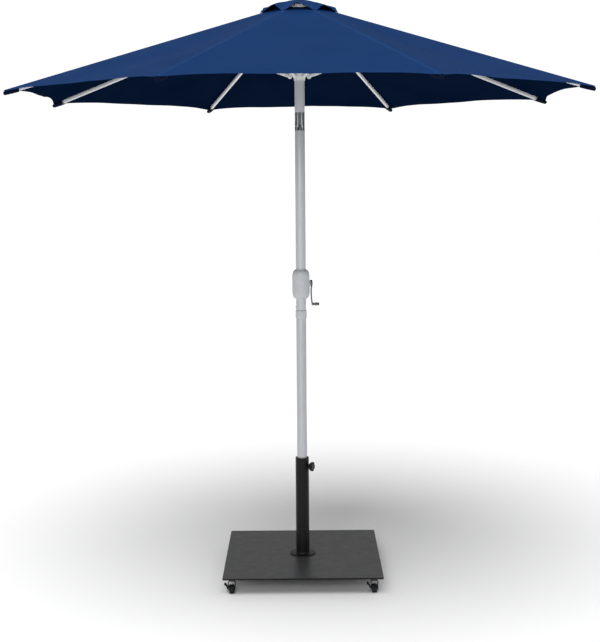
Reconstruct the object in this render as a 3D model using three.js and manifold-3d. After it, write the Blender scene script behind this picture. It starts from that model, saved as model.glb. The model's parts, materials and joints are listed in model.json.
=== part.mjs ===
// Market umbrella with a crank, a tilting top and a wheeled square base plate.
// Millimetres, +Z up, the origin on the floor under the pole, the crank on the +X side.
import * as THREE from 'three';
import { mergeVertices } from 'three/addons/utils/BufferGeometryUtils.js';
import Module from 'manifold-3d';

// Gap kept between neighbouring pieces
const GAP = 0.3;

// Canopy frame
const RIB_COUNT = 8;
const CORNER_RADIUS = 1310;
const RIM_HEIGHT = 2200;
const SLOPE = THREE.MathUtils.degToRad(17.5);
const FABRIC = 1.5;
const FABRIC_ABOVE_AXIS = 12.2;
const PIVOT_RADIUS = 47;
const RIB_WIDTH = 12;
const RIB_HEIGHT = 18;
const RIB_START = 30;
const RIB_POCKET = 26;
const TONGUE_RADIUS = 8;
const TONGUE_THICKNESS = 7;
const STRUT_OFFSET = 16;
const STRUT_THICKNESS = 8;
const STRUT_HALF_HEIGHT = 5.5;
const STRUT_OUTER_RADIUS = 6;
const STRUT_INNER_RADIUS = 9;
const CHEEK_THICKNESS = 2;
const VENT_RADIUS = 110;
const HEM_ARCH = 50;
const HEM_STEPS = 3;
const CAP_RADIUS = 176;
const CAP_EDGE_HEIGHT = 2589;
const CAP_TOP_HEIGHT = 2624;

// Runner
const RUNNER_PIVOT_HEIGHT = 2283;
const RUNNER_OUTER = 28.6;
const RUNNER_DISC = 54;
const SLOT_INNER = 37.2;

// Pole
const SIDES = 24;
const POLE_OUTER = 22.5;
const POLE_INNER = 21;
const PLUG_RADIUS = 20.4;
const SLEEVE_BORE = 23.1;
const POLE_JOINT_HEIGHT = 1227;
const SPIGOT_OUTER = 20.6;
const SPIGOT_INNER = 19;
const SPIGOT_TOP = 1266;
const BUTTON_HEIGHT = 1241;
const BUTTON_RADIUS = 4;
const CLOSE_BORE = 0.5;

// Tilt joint
const TILT_HEIGHT = 2062;
const WINDOW_BOTTOM = 2043;
const WINDOW_TOP = 2124;
const TILT_REAR_GAP = 4;
const CHEEK_INNER = 11.4;
const CHEEK_OUTER = 15;
const LEAF_OUTER = 11;
const LEAF_INNER = 7.4;
const TILT_PIN_RADIUS = 3.5;

// Crank
const CRANK_HEIGHT = 1347;
const HOUSING_HALF_HEIGHT = 67.5;
const HOUSING_RADIUS = 39.5;
const CRANK_LENGTH = 92;
const SHAFT_RADIUS = 4;
const DRUM_RADIUS = 13;
const DRUM_FLANGE_RADIUS = 16;
const PULLEY_RADIUS = 15;

// Base
const PLATE_SIDE = 710;
const PLATE_UNDERSIDE = 75;
const PLATE_THICKNESS = 8;
const PLATE_TOP = PLATE_UNDERSIDE + PLATE_THICKNESS;
const BASE_TUBE_OUTER = 31;
const BASE_TUBE_INNER = 29;
const BASE_TUBE_TOP = 540;
const FLANGE_RADIUS = 60;
const FLANGE_THICKNESS = 3.5;
const KNOB_HEIGHT = 500;
const KNOB_AZIMUTH = THREE.MathUtils.degToRad(-25);
const KNOB_RADIUS = 22;
const STUD_RADIUS = 4;
const INSERT_OUTER = 28.6;
const INSERT_BOTTOM = 440;

// Casters
const CASTER_INSET = 316;
const STEM_RADIUS = 8;
const STEM_BOTTOM = 66;
const WHEEL_RADIUS = 20;
const WHEEL_WIDTH = 22;
const WHEEL_SIDES = 16;
const TRAIL = 10;
const AXLE_RADIUS = 3;
const BRAKED_CASTERS = 2;

const wasm = await Module();
wasm.setup();

const umbrella = new THREE.Group();

// A closed geometry with shared corners, no flat triangles, and its faces pointing out.
function tidy(geometry) {
  const bare = geometry.clone();
  bare.deleteAttribute('normal');
  bare.deleteAttribute('uv');
  const merged = mergeVertices(bare, 1e-3);
  const position = merged.getAttribute('position');
  const corners = merged.getIndex().array;
  const kept = [];
  let volume = 0;
  const a = new THREE.Vector3();
  const b = new THREE.Vector3();
  const c = new THREE.Vector3();
  for (let i = 0; i < corners.length; i += 3) {
    const [p, q, r] = [corners[i], corners[i + 1], corners[i + 2]];
    if (p === q || q === r || r === p) continue;
    kept.push(p, q, r);
    a.fromBufferAttribute(position, p);
    b.fromBufferAttribute(position, q);
    c.fromBufferAttribute(position, r);
    volume += a.dot(b.cross(c));
  }
  if (volume < 0) kept.reverse();
  merged.setIndex(kept);
  return merged;
}

function toSolid(geometry) {
  const closed = tidy(geometry);
  return new wasm.Manifold(new wasm.Mesh({
    numProp: 3,
    vertProperties: new Float32Array(closed.getAttribute('position').array),
    triVerts: new Uint32Array(closed.getIndex().array),
  }));
}

function toGeometry(solid) {
  const mesh = solid.getMesh();
  const geometry = new THREE.BufferGeometry();
  geometry.setAttribute('position', new THREE.BufferAttribute(mesh.vertProperties, 3));
  geometry.setIndex(new THREE.BufferAttribute(mesh.triVerts, 1));
  return geometry;
}

function join(...geometries) {
  return toGeometry(geometries.map(toSolid).reduce((whole, next) => whole.add(next)));
}

function cut(geometry, ...tools) {
  return toGeometry(tools.map(toSolid).reduce((whole, tool) => whole.subtract(tool), toSolid(geometry)));
}

// A solid of revolution about Z from [radius, height] pairs.
function turned(profile, sides = SIDES) {
  const points = profile.map(([radius, height]) => new THREE.Vector2(radius, height));
  const geometry = new THREE.LatheGeometry(points, sides);
  geometry.rotateX(Math.PI / 2);
  return geometry;
}

// A closed ring: the profile comes back to its first point.
function ring(profile, sides = SIDES) {
  return turned([...profile, profile[0]], sides);
}

function tube(outer, inner, bottom, top, sides = SIDES) {
  return ring([[inner, bottom], [outer, bottom], [outer, top], [inner, top]], sides);
}

// A round bar standing on Z.
function bar(radius, bottom, top, sides = SIDES) {
  const geometry = new THREE.CylinderGeometry(radius, radius, top - bottom, sides);
  geometry.rotateX(Math.PI / 2);
  geometry.translate(0, 0, (bottom + top) / 2);
  return geometry;
}

// A box from its low corner to its high corner.
function block(low, high) {
  const size = high.map((value, i) => value - low[i]);
  const geometry = new THREE.BoxGeometry(...size);
  geometry.translate(...high.map((value, i) => (value + low[i]) / 2));
  return geometry;
}

// Turns a shape standing on Z so that it points along +X.
function alongX(geometry) {
  geometry.rotateY(Math.PI / 2);
  return geometry;
}

// A plate in the XZ plane, centred on y, from a shape drawn as x and z.
function plateXZ(shape, thickness, y = 0, curveSegments = 4) {
  const geometry = new THREE.ExtrudeGeometry(shape, { depth: thickness, bevelEnabled: false, curveSegments });
  geometry.translate(0, 0, -thickness / 2);
  geometry.rotateX(Math.PI / 2);
  geometry.translate(0, y, 0);
  return geometry;
}

// A plate in the YZ plane, centred on x, from a shape drawn as y and z.
function plateYZ(shape, thickness, x = 0, curveSegments = 4) {
  const geometry = plateXZ(shape, thickness, 0, curveSegments);
  geometry.rotateZ(Math.PI / 2);
  geometry.translate(x, 0, 0);
  return geometry;
}

function polygon(points) {
  return new THREE.Shape(points.map(([x, y]) => new THREE.Vector2(x, y)));
}

// A bar outline with a round end about the start and another about the end, along the first axis.
function linkOutline(length, startRadius, endRadius, halfHeight) {
  const startAngle = Math.asin(halfHeight / startRadius);
  const endAngle = Math.asin(Math.min(1, halfHeight / endRadius));
  const shape = new THREE.Shape();
  shape.absarc(0, 0, startRadius, startAngle, 2 * Math.PI - startAngle, false);
  shape.absarc(length, 0, endRadius, -Math.PI + endAngle, Math.PI - endAngle, false);
  shape.closePath();
  return shape;
}

// An upright tab in a plate: straight sides up to a half-round top about (0, centre).
function tabOutline(halfWidth, foot, centre) {
  const shape = new THREE.Shape();
  shape.moveTo(-halfWidth, foot);
  shape.lineTo(halfWidth, foot);
  if (centre > foot) shape.absarc(0, centre, halfWidth, 0, Math.PI, false);
  else shape.absarc(0, centre, halfWidth, 0, -Math.PI, true);
  shape.closePath();
  return shape;
}

const finishes = {
  steel: { color: 0xb5b8bf, roughness: 0.35, metalness: 0.8 },
  zinc: { color: 0xa9aeb4, roughness: 0.4, metalness: 0.9 },
  chrome: { color: 0xc9ccd0, roughness: 0.12, metalness: 1 },
  darkSteel: { color: 0x54565a, roughness: 0.55, metalness: 0.4 },
  blackSteel: { color: 0x26272a, roughness: 0.5, metalness: 0.4 },
  plate: { color: 0x525356, roughness: 0.6, metalness: 0.3 },
  blackPlastic: { color: 0x141416, roughness: 0.5, metalness: 0 },
  greyPlastic: { color: 0xa3a6ab, roughness: 0.5, metalness: 0 },
  whitePlastic: { color: 0xdedfe0, roughness: 0.5, metalness: 0 },
  rubber: { color: 0x17171a, roughness: 0.8, metalness: 0 },
  rib: { color: 0xc4c8ce, roughness: 0.4, metalness: 0.7 },
  canvas: { color: 0x24426f, roughness: 0.9, metalness: 0 },
};

function place(name, geometry, finish, parent = umbrella) {
  const mesh = new THREE.Mesh(tidy(geometry), new THREE.MeshStandardMaterial(finishes[finish]));
  mesh.name = name;
  parent.add(mesh);
  return mesh;
}

// ---------------------------------------------------------------- base

function basePlate() {
  const half = PLATE_SIDE / 2;
  const corner = 7;
  const shape = new THREE.Shape();
  shape.absarc(half - corner, half - corner, corner, 0, Math.PI / 2, false);
  shape.absarc(corner - half, half - corner, corner, Math.PI / 2, Math.PI, false);
  shape.absarc(corner - half, corner - half, corner, Math.PI, 1.5 * Math.PI, false);
  shape.absarc(half - corner, corner - half, corner, 1.5 * Math.PI, 2 * Math.PI, false);
  shape.closePath();
  const slab = new THREE.ExtrudeGeometry(shape, {
    depth: PLATE_THICKNESS, bevelEnabled: false, curveSegments: 3,
  });
  slab.translate(0, 0, PLATE_UNDERSIDE);
  const stems = [[1, 1], [-1, 1], [-1, -1], [1, -1]].map(([x, y]) => {
    const stem = bar(STEM_RADIUS, STEM_BOTTOM, PLATE_UNDERSIDE + 1, 12);
    stem.translate(x * CASTER_INSET, y * CASTER_INSET, 0);
    return stem;
  });
  return join(slab, ...stems);
}

// The clamp's own frame has +X along the stud; this turns it to the side it faces.
function atKnob(geometry) {
  geometry.rotateZ(KNOB_AZIMUTH);
  geometry.translate(0, 0, KNOB_HEIGHT);
  return geometry;
}

function baseTube() {
  const bottom = PLATE_TOP + GAP;
  const shell = ring([
    [BASE_TUBE_INNER, bottom], [FLANGE_RADIUS, bottom],
    [FLANGE_RADIUS, bottom + FLANGE_THICKNESS], [BASE_TUBE_OUTER, bottom + FLANGE_THICKNESS],
    [BASE_TUBE_OUTER, BASE_TUBE_TOP], [BASE_TUBE_INNER, BASE_TUBE_TOP],
  ]);
  const boss = atKnob(alongX(bar(9, BASE_TUBE_INNER + 0.8, 37.5, 16)));
  const bore = atKnob(alongX(bar(STUD_RADIUS + CLOSE_BORE, 20, 45, 12)));
  return cut(join(shell, boss), bore);
}

function tubeInsert() {
  const sleeve = tube(INSERT_OUTER, SLEEVE_BORE, INSERT_BOTTOM, BASE_TUBE_TOP - GAP);
  const bore = atKnob(alongX(bar(STUD_RADIUS + 1, 20, 35, 12)));
  return cut(sleeve, bore);
}

function clampStud() {
  return atKnob(alongX(bar(STUD_RADIUS, 23.4, 51, 12)));
}

// A five-lobed knob with a short neck and a blind bore for the stud.
function clampKnob() {
  const outline = new THREE.Shape();
  const lobes = 5;
  const steps = 25;
  for (let i = 0; i < steps; i += 1) {
    const angle = (2 * Math.PI * i) / steps;
    const radius = KNOB_RADIUS - 2 + 2 * Math.cos(lobes * angle);
    const point = [radius * Math.cos(angle), radius * Math.sin(angle)];
    if (i === 0) outline.moveTo(...point);
    else outline.lineTo(...point);
  }
  outline.closePath();
  const head = new THREE.ExtrudeGeometry(outline, { depth: 13, bevelEnabled: false });
  head.translate(0, 0, 42.5);
  const neck = bar(9, 38.5, 43.5, 12);
  const bore = bar(STUD_RADIUS + CLOSE_BORE, 36, 51.5, 12);
  return atKnob(alongX(cut(join(head, neck), bore)));
}

// ---------------------------------------------------------------- casters
// Each caster's own frame: the stem on Z, the wheel's axle along X, trailing towards +Y.

function casterFork() {
  const half = WHEEL_WIDTH / 2;
  const archRadius = 17;
  const archCentre = 45;
  const legHalf = half + 1;
  const wall = 3;
  const shape = new THREE.Shape();
  shape.moveTo(legHalf, WHEEL_RADIUS - 6);
  shape.lineTo(legHalf + wall, WHEEL_RADIUS - 6);
  shape.absarc(0, archCentre, archRadius, 0, Math.PI, false);
  shape.lineTo(-legHalf - wall, WHEEL_RADIUS - 6);
  shape.lineTo(-legHalf, WHEEL_RADIUS - 6);
  shape.absarc(0, archCentre, archRadius - wall, Math.PI, 0, true);
  shape.closePath();
  const arch = plateXZ(shape, 12, TRAIL, 6);
  const crown = bar(11, archCentre + archRadius - wall, STEM_BOTTOM - GAP, 16);
  const axle = alongX(bar(AXLE_RADIUS, -legHalf - 1, legHalf + 1, 12));
  axle.translate(0, TRAIL, WHEEL_RADIUS);
  return join(arch, crown, axle);
}

// The tread has flats, and one of them lies on the floor.
function casterWheel() {
  const outer = WHEEL_RADIUS / Math.cos(Math.PI / WHEEL_SIDES);
  const half = WHEEL_WIDTH / 2;
  const wheel = alongX(tube(outer, AXLE_RADIUS + CLOSE_BORE, -half, half, WHEEL_SIDES));
  wheel.rotateX(Math.PI / WHEEL_SIDES);
  wheel.translate(0, TRAIL, WHEEL_RADIUS);
  return wheel;
}

// A side pedal outboard of the fork's left leg, tipping about an axis along the wheel's travel.
function casterBrake() {
  const pedal = plateXZ(polygon([
    [-16.6, 22], [-21, 21], [-25, 33], [-34, 41], [-33, 47], [-26, 45], [-17, 31],
  ]), 14, TRAIL);
  return pedal;
}

function addCaster(index, x, y) {
  const caster = new THREE.Group();
  caster.position.set(x, y, 0);
  place(`caster_fork_${index}`, casterFork(), 'blackPlastic', caster);
  place(`caster_wheel_${index}`, casterWheel(), 'rubber', caster);
  if (index <= BRAKED_CASTERS) place(`caster_brake_${index}`, casterBrake(), 'blackPlastic', caster);
  umbrella.add(caster);
}

// ---------------------------------------------------------------- pole

function poleFoot() {
  const bottom = PLATE_TOP + 2 * GAP;
  return turned([
    [0, bottom], [POLE_OUTER - GAP, bottom], [POLE_OUTER - GAP, bottom + 6],
    [PLUG_RADIUS, bottom + 6], [PLUG_RADIUS, bottom + 34], [0, bottom + 34],
  ]);
}

function lowerPole() {
  const bottom = PLATE_TOP + 3 * GAP + 6;
  const pole = ring([
    [POLE_INNER, bottom], [POLE_OUTER, bottom], [POLE_OUTER, POLE_JOINT_HEIGHT],
    [SPIGOT_OUTER, POLE_JOINT_HEIGHT], [SPIGOT_OUTER, SPIGOT_TOP], [SPIGOT_INNER, SPIGOT_TOP],
    [SPIGOT_INNER, POLE_JOINT_HEIGHT - 8], [POLE_INNER, POLE_JOINT_HEIGHT - 16],
  ]);
  return cut(pole, buttonBore());
}

function buttonBore() {
  const bore = alongX(bar(BUTTON_RADIUS + CLOSE_BORE, -30, 0, 12));
  bore.translate(0, 0, BUTTON_HEIGHT);
  return bore;
}

function snapButton() {
  const button = turned([
    [0, 25], [3, 25], [BUTTON_RADIUS, 23.8], [BUTTON_RADIUS, 17.4], [5.2, 17.4], [5.2, 15.4], [0, 15.4],
  ], 12);
  button.rotateY(-Math.PI / 2);
  button.translate(0, 0, BUTTON_HEIGHT);
  return button;
}

function poleCollar() {
  return ring([
    [SLEEVE_BORE, POLE_JOINT_HEIGHT - 37], [25, POLE_JOINT_HEIGHT - 37], [25.6, POLE_JOINT_HEIGHT - 35],
    [25.6, POLE_JOINT_HEIGHT - 3], [24.6, POLE_JOINT_HEIGHT - GAP], [SLEEVE_BORE, POLE_JOINT_HEIGHT - GAP],
  ]);
}

function upperPole() {
  const top = TILT_HEIGHT - TILT_REAR_GAP;
  const pole = tube(POLE_OUTER, POLE_INNER, POLE_JOINT_HEIGHT + GAP, top);
  const window = block([-30, -30, WINDOW_BOTTOM], [30, 0, top + 1]);
  const shaftBore = alongX(bar(SHAFT_RADIUS + CLOSE_BORE, -30, 30, 12));
  shaftBore.translate(0, 0, CRANK_HEIGHT);
  return cut(pole, window, shaftBore, buttonBore());
}

// ---------------------------------------------------------------- crank

function housingShell() {
  const h = HOUSING_HALF_HEIGHT;
  const r = HOUSING_RADIUS;
  const shell = ring([
    [SLEEVE_BORE, -h], [31, -h], [38, 11 - h], [r, 24 - h],
    [r, h - 24], [38, h - 11], [31, h], [SLEEVE_BORE, h],
    [SLEEVE_BORE, h - 8], [36, h - 16], [36, 16 - h], [SLEEVE_BORE, 8 - h],
  ]);
  const boss = alongX(bar(11, 37, 43, 16));
  const bore = alongX(bar(SHAFT_RADIUS + CLOSE_BORE, 20, 50, 12));
  const shellAndBoss = cut(join(shell, boss), bore);
  shellAndBoss.translate(0, 0, CRANK_HEIGHT);
  return shellAndBoss;
}

// side is -1 for the front half and 1 for the rear half.
function housingHalf(side) {
  const low = CRANK_HEIGHT - 100;
  const high = CRANK_HEIGHT + 100;
  const y = [side * -60, (side * GAP) / 2].sort((a, b) => a - b);
  return cut(housingShell(), block([-60, y[0], low], [60, y[1], high]));
}

function cordSpool() {
  const spool = join(
    alongX(bar(DRUM_RADIUS, -11, 11, 16)),
    alongX(bar(DRUM_FLANGE_RADIUS, -12, -10, 16)),
    alongX(bar(DRUM_FLANGE_RADIUS, 10, 12, 16)),
    alongX(bar(SHAFT_RADIUS, -26, 46, 12)),
  );
  spool.translate(0, 0, CRANK_HEIGHT);
  return spool;
}

const GRIP_PIN_START = 53;
const GRIP_PIN_END = 80;

function crankArm() {
  const hub = alongX(bar(10, 43.6, 50.5, 16));
  const arm = plateXZ(polygon([
    [44.6, 0], [50.2, 0], [50.2, -20], [54.6, 8 - CRANK_LENGTH], [54.6, -CRANK_LENGTH - 3],
    [49.4, -CRANK_LENGTH - 3], [49.4, 8 - CRANK_LENGTH], [44.6, -20],
  ]), 11);
  const eye = alongX(bar(7, 49.4, 54.6, 12));
  eye.translate(0, 0, -CRANK_LENGTH);
  const pin = alongX(bar(AXLE_RADIUS, GRIP_PIN_START, GRIP_PIN_END, 12));
  pin.translate(0, 0, -CRANK_LENGTH);
  const bore = alongX(bar(SHAFT_RADIUS + CLOSE_BORE, 40, 46.6, 12));
  const crank = cut(join(hub, arm, eye, pin), bore);
  crank.translate(0, 0, CRANK_HEIGHT);
  return crank;
}

function crankGrip() {
  const bore = AXLE_RADIUS + CLOSE_BORE;
  const start = GRIP_PIN_START + 2;
  const grip = alongX(turned([
    [0, GRIP_PIN_END + GAP], [bore, GRIP_PIN_END + GAP], [bore, start], [6.4, start],
    [7.4, start + 4], [7.8, GRIP_PIN_END - 4], [6, GRIP_PIN_END + 2.4], [0, GRIP_PIN_END + 3.2],
  ], 16));
  grip.translate(0, 0, CRANK_HEIGHT - CRANK_LENGTH);
  return grip;
}

// ---------------------------------------------------------------- tilt joint

function tiltBore() {
  const bore = alongX(bar(TILT_PIN_RADIUS + CLOSE_BORE, -30, 30, 12));
  bore.translate(0, 0, TILT_HEIGHT);
  return bore;
}

// The fixed fork: a plug in the upper pole and two cheeks rounded about the pin.
function tiltClevis() {
  const plug = bar(PLUG_RADIUS, TILT_HEIGHT - 77, TILT_HEIGHT - 50);
  const thickness = CHEEK_OUTER - CHEEK_INNER;
  const outline = tabOutline(9, TILT_HEIGHT - 52, TILT_HEIGHT);
  const cheeks = [-1, 1].map((side) => plateYZ(outline, thickness, side * (CHEEK_OUTER - thickness / 2), 6));
  return cut(join(plug, ...cheeks), tiltBore());
}

// The moving knuckle: a plug in the canopy tube and two leaves between the cheeks.
function tiltKnuckle() {
  const plug = bar(PLUG_RADIUS, WINDOW_TOP + 5, WINDOW_TOP + 31);
  const thickness = LEAF_OUTER - LEAF_INNER;
  const outline = tabOutline(8, WINDOW_TOP + 7, TILT_HEIGHT);
  const leaves = [-1, 1].map((side) => plateYZ(outline, thickness, side * (LEAF_OUTER - thickness / 2), 6));
  return cut(join(plug, ...leaves), tiltBore());
}

function tiltPin() {
  const head = 5;
  const end = 19.4;
  const pin = alongX(turned([
    [0, -end], [head, -end], [head, -CHEEK_OUTER - GAP], [TILT_PIN_RADIUS, -CHEEK_OUTER - GAP],
    [TILT_PIN_RADIUS, CHEEK_OUTER + GAP], [head, CHEEK_OUTER + GAP], [head, end], [0, end],
  ], 12));
  pin.translate(0, 0, TILT_HEIGHT);
  return pin;
}

function tiltSpring() {
  const spring = bar(3.4, TILT_HEIGHT + 7, WINDOW_TOP + 5 - GAP, 10);
  spring.translate(-2, -3, 0);
  return spring;
}

function canopyTube() {
  const bottom = TILT_HEIGHT + TILT_REAR_GAP;
  const pole = tube(POLE_OUTER, POLE_INNER, bottom, HUB_BOTTOM - GAP);
  return cut(pole, block([-30, -30, bottom - 1], [30, 0, WINDOW_TOP]));
}

// ---------------------------------------------------------------- canopy frame

const APEX_HEIGHT = RIM_HEIGHT + CORNER_RADIUS * Math.tan(SLOPE);
const HUB_PIVOT_HEIGHT = APEX_HEIGHT - FABRIC_ABOVE_AXIS / Math.cos(SLOPE) - PIVOT_RADIUS * Math.tan(SLOPE);
const HUB_BOTTOM = HUB_PIVOT_HEIGHT - 12;
const HUB_TOP = HUB_PIVOT_HEIGHT + 12;
const RIB_LENGTH = (CORNER_RADIUS - 4 - PIVOT_RADIUS) / Math.cos(SLOPE);

// The strut's outer pivot lies below the rib, so that rib and strut are two equal sides
// of a triangle whose base runs down the pole from the hub's pivots to the runner's.
const HALF_DROP = (HUB_PIVOT_HEIGHT - RUNNER_PIVOT_HEIGHT) / 2;

function linkLength() {
  let length = HALF_DROP / Math.sin(SLOPE);
  for (let i = 0; i < 20; i += 1) length = HALF_DROP / Math.sin(SLOPE + Math.asin(STRUT_OFFSET / length));
  return length;
}

const STRUT_LENGTH = linkLength();
const STRUT_SLOPE = SLOPE + Math.asin(STRUT_OFFSET / STRUT_LENGTH);
const BRACKET_DISTANCE = Math.sqrt(STRUT_LENGTH ** 2 - STRUT_OFFSET ** 2);

// Radial slots, open above and below, for a disc with one link at each corner.
function radialSlots(inner, width, bottom, top) {
  return Array.from({ length: RIB_COUNT }, (unused, i) => {
    const slot = block([inner, -width / 2, bottom], [80, width / 2, top]);
    slot.rotateZ(cornerAzimuth(i));
    return slot;
  });
}

function cornerAzimuth(index) {
  return -Math.PI / 2 + ((index + 0.5) * 2 * Math.PI) / RIB_COUNT;
}

function runner() {
  const z = RUNNER_PIVOT_HEIGHT;
  const body = ring([
    [SLEEVE_BORE, z - 18], [25.4, z - 18], [25.4, z - 5], [RUNNER_OUTER, z - 3],
    [RUNNER_OUTER, z + 9], [RUNNER_DISC, z + 9], [RUNNER_DISC, z + 14], [RUNNER_OUTER, z + 14],
    [RUNNER_OUTER, z + 24], [SLEEVE_BORE, z + 24],
  ]);
  return cut(body, ...radialSlots(SLOT_INNER, STRUT_THICKNESS + 1.2, z + 5, z + 18));
}

function topHub() {
  const body = turned([
    [0, HUB_BOTTOM - 20], [PLUG_RADIUS, HUB_BOTTOM - 20], [PLUG_RADIUS, HUB_BOTTOM], [55, HUB_BOTTOM],
    [55, HUB_TOP], [22, HUB_TOP], [16, HUB_TOP + 8], [10, HUB_TOP + 10],
    [10, CAP_TOP_HEIGHT + 4], [0, CAP_TOP_HEIGHT + 4],
  ]);
  return cut(body, ...radialSlots(SLOT_INNER, TONGUE_THICKNESS + 0.8, HUB_BOTTOM - 5, HUB_TOP + 5));
}

function finial() {
  const seat = CAP_TOP_HEIGHT + 4 + GAP;
  return turned([[0, seat], [20, seat], [20, seat + 3], [14, seat + 7.5], [6, seat + 9.6], [0, seat + 10]], 16);
}

function cordPulley() {
  const pulley = alongX(turned([
    [0, -19.4], [2.5, -19.4], [2.5, -4], [PULLEY_RADIUS, -4], [PULLEY_RADIUS - 2, 0],
    [PULLEY_RADIUS, 4], [2.5, 4], [2.5, 19.4], [0, 19.4],
  ], 16));
  pulley.translate(0, 0, HUB_BOTTOM - 44);
  return pulley;
}

// Puts a piece drawn along a rib (X outward, Z square to it) onto its pivot at the hub.
function ontoRib(geometry) {
  geometry.rotateY(SLOPE);
  geometry.translate(PIVOT_RADIUS, 0, HUB_PIVOT_HEIGHT);
  return geometry;
}

function rib() {
  const halfWidth = RIB_WIDTH / 2;
  const halfHeight = RIB_HEIGHT / 2;
  const beam = block(
    [RIB_START, -halfWidth, -halfHeight],
    [RIB_LENGTH - RIB_POCKET, halfWidth, halfHeight],
  );
  const tongue = plateXZ(
    linkOutline(RIB_START + 4, TONGUE_RADIUS, TONGUE_RADIUS, TONGUE_RADIUS - 0.5),
    TONGUE_THICKNESS,
    0,
    5,
  );
  const tip = block([RIB_LENGTH - RIB_POCKET - 4, -4, -5], [RIB_LENGTH, 4, 5]);
  const d = BRACKET_DISTANCE;
  const cheekOutline = polygon([
    [d - 15, -3], [d + 15, -3], [d + 7, -19], [d + 4, -23], [d - 4, -23], [d - 7, -19],
  ]);
  const cheeks = [-1, 1].map((side) => plateXZ(cheekOutline, CHEEK_THICKNESS, side * (halfWidth + 0.4)));
  return ontoRib(join(beam, tongue, tip, ...cheeks));
}

function strut() {
  const outline = linkOutline(STRUT_LENGTH, STRUT_INNER_RADIUS, STRUT_OUTER_RADIUS, STRUT_HALF_HEIGHT);
  const link = plateXZ(outline, STRUT_THICKNESS, 0, 5);
  link.rotateY(-STRUT_SLOPE);
  link.translate(PIVOT_RADIUS, 0, RUNNER_PIVOT_HEIGHT);
  return link;
}

// One rib's share of the canopy: two half panels that meet over the rib. Each half panel is flat,
// and its hem arches inward towards the middle of the panel.
function canopyShare() {
  const halfPanel = Math.PI / RIB_COUNT;
  const vertices = [];
  const columns = 2 * HEM_STEPS + 1;
  const level = (x, y) => APEX_HEIGHT - panelDistance(x, y) * Math.tan(SLOPE) / Math.cos(halfPanel);
  // How far a point is from the axis, square to its panel's middle line.
  function panelDistance(x, y) {
    return x * Math.cos(halfPanel) + Math.abs(y) * Math.sin(halfPanel);
  }
  for (let column = 0; column < columns; column += 1) {
    const across = column / HEM_STEPS - 1;
    const share = Math.abs(across);
    const side = Math.sign(across);
    const middle = CORNER_RADIUS * Math.cos(halfPanel);
    const hem = new THREE.Vector2(
      CORNER_RADIUS + share * (middle * Math.cos(halfPanel) - CORNER_RADIUS),
      side * share * middle * Math.sin(halfPanel),
    );
    const inward = 1 - (HEM_ARCH / middle) * (1 - (1 - share) ** 2);
    hem.multiplyScalar(inward);
    const vent = hem.clone().multiplyScalar(VENT_RADIUS / CORNER_RADIUS / inward);
    for (const point of [vent, hem]) {
      const edgeGap = share === 1 ? (side * GAP) / 2 : 0;
      const x = point.x - Math.abs(edgeGap) * Math.sin(halfPanel) * -1;
      const y = point.y - edgeGap * Math.cos(halfPanel);
      const top = level(x, y);
      vertices.push(new THREE.Vector3(x, y, top), new THREE.Vector3(x, y, top - FABRIC / Math.cos(SLOPE)));
    }
  }
  // Per column: vent top, vent bottom, hem top, hem bottom.
  const faces = [];
  const quad = (a, b, c, d) => faces.push([a, b, c], [a, c, d]);
  for (let column = 0; column < columns - 1; column += 1) {
    const here = 4 * column;
    const next = here + 4;
    quad(here, here + 2, next + 2, next);
    quad(here + 1, next + 1, next + 3, here + 3);
    quad(here, next, next + 1, here + 1);
    quad(here + 2, here + 3, next + 3, next + 2);
  }
  const last = 4 * (columns - 1);
  quad(0, 1, 3, 2);
  quad(last, last + 2, last + 3, last + 1);
  const positions = faces.flat().flatMap((i) => vertices[i].toArray());
  const geometry = new THREE.BufferGeometry();
  geometry.setAttribute('position', new THREE.Float32BufferAttribute(positions, 3));
  return geometry;
}

// The small roof over the vent: one corner at each rib, resting on the hub's post.
function ventCap() {
  const thickness = 2;
  const cap = ring([
    [10.5, CAP_TOP_HEIGHT - thickness], [60, CAP_TOP_HEIGHT - 6 - thickness],
    [CAP_RADIUS, CAP_EDGE_HEIGHT - thickness], [CAP_RADIUS, CAP_EDGE_HEIGHT],
    [60, CAP_TOP_HEIGHT - 6], [10.5, CAP_TOP_HEIGHT],
  ], 2 * RIB_COUNT);
  cap.rotateZ(Math.PI / RIB_COUNT);
  return cap;
}

// ---------------------------------------------------------------- assembly

place('base_plate', basePlate(), 'plate');
place('base_tube', baseTube(), 'blackSteel');
place('tube_insert', tubeInsert(), 'blackPlastic');
place('clamp_stud', clampStud(), 'zinc');
place('clamp_knob', clampKnob(), 'blackPlastic');

// The first two casters are the front pair, which have the brakes.
addCaster(1, -CASTER_INSET, -CASTER_INSET);
addCaster(2, CASTER_INSET, -CASTER_INSET);
addCaster(3, CASTER_INSET, CASTER_INSET);
addCaster(4, -CASTER_INSET, CASTER_INSET);

place('pole_foot', poleFoot(), 'blackPlastic');
place('lower_pole', lowerPole(), 'steel');
place('pole_collar', poleCollar(), 'greyPlastic');
place('snap_button', snapButton(), 'zinc');
place('upper_pole', upperPole(), 'steel');
place('crank_housing_front', housingHalf(-1), 'greyPlastic');
place('crank_housing_rear', housingHalf(1), 'greyPlastic');
place('cord_spool', cordSpool(), 'whitePlastic');
place('crank_arm', crankArm(), 'chrome');
place('crank_grip', crankGrip(), 'chrome');
place('tilt_clevis', tiltClevis(), 'zinc');
place('tilt_knuckle', tiltKnuckle(), 'zinc');
place('tilt_pin', tiltPin(), 'darkSteel');
place('tilt_spring', tiltSpring(), 'zinc');
place('canopy_tube', canopyTube(), 'steel');
place('runner', runner(), 'whitePlastic');
place('top_hub', topHub(), 'whitePlastic');
place('finial', finial(), 'whitePlastic');
place('cord_pulley', cordPulley(), 'whitePlastic');
place('vent_cap', ventCap(), 'canvas');

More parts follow.
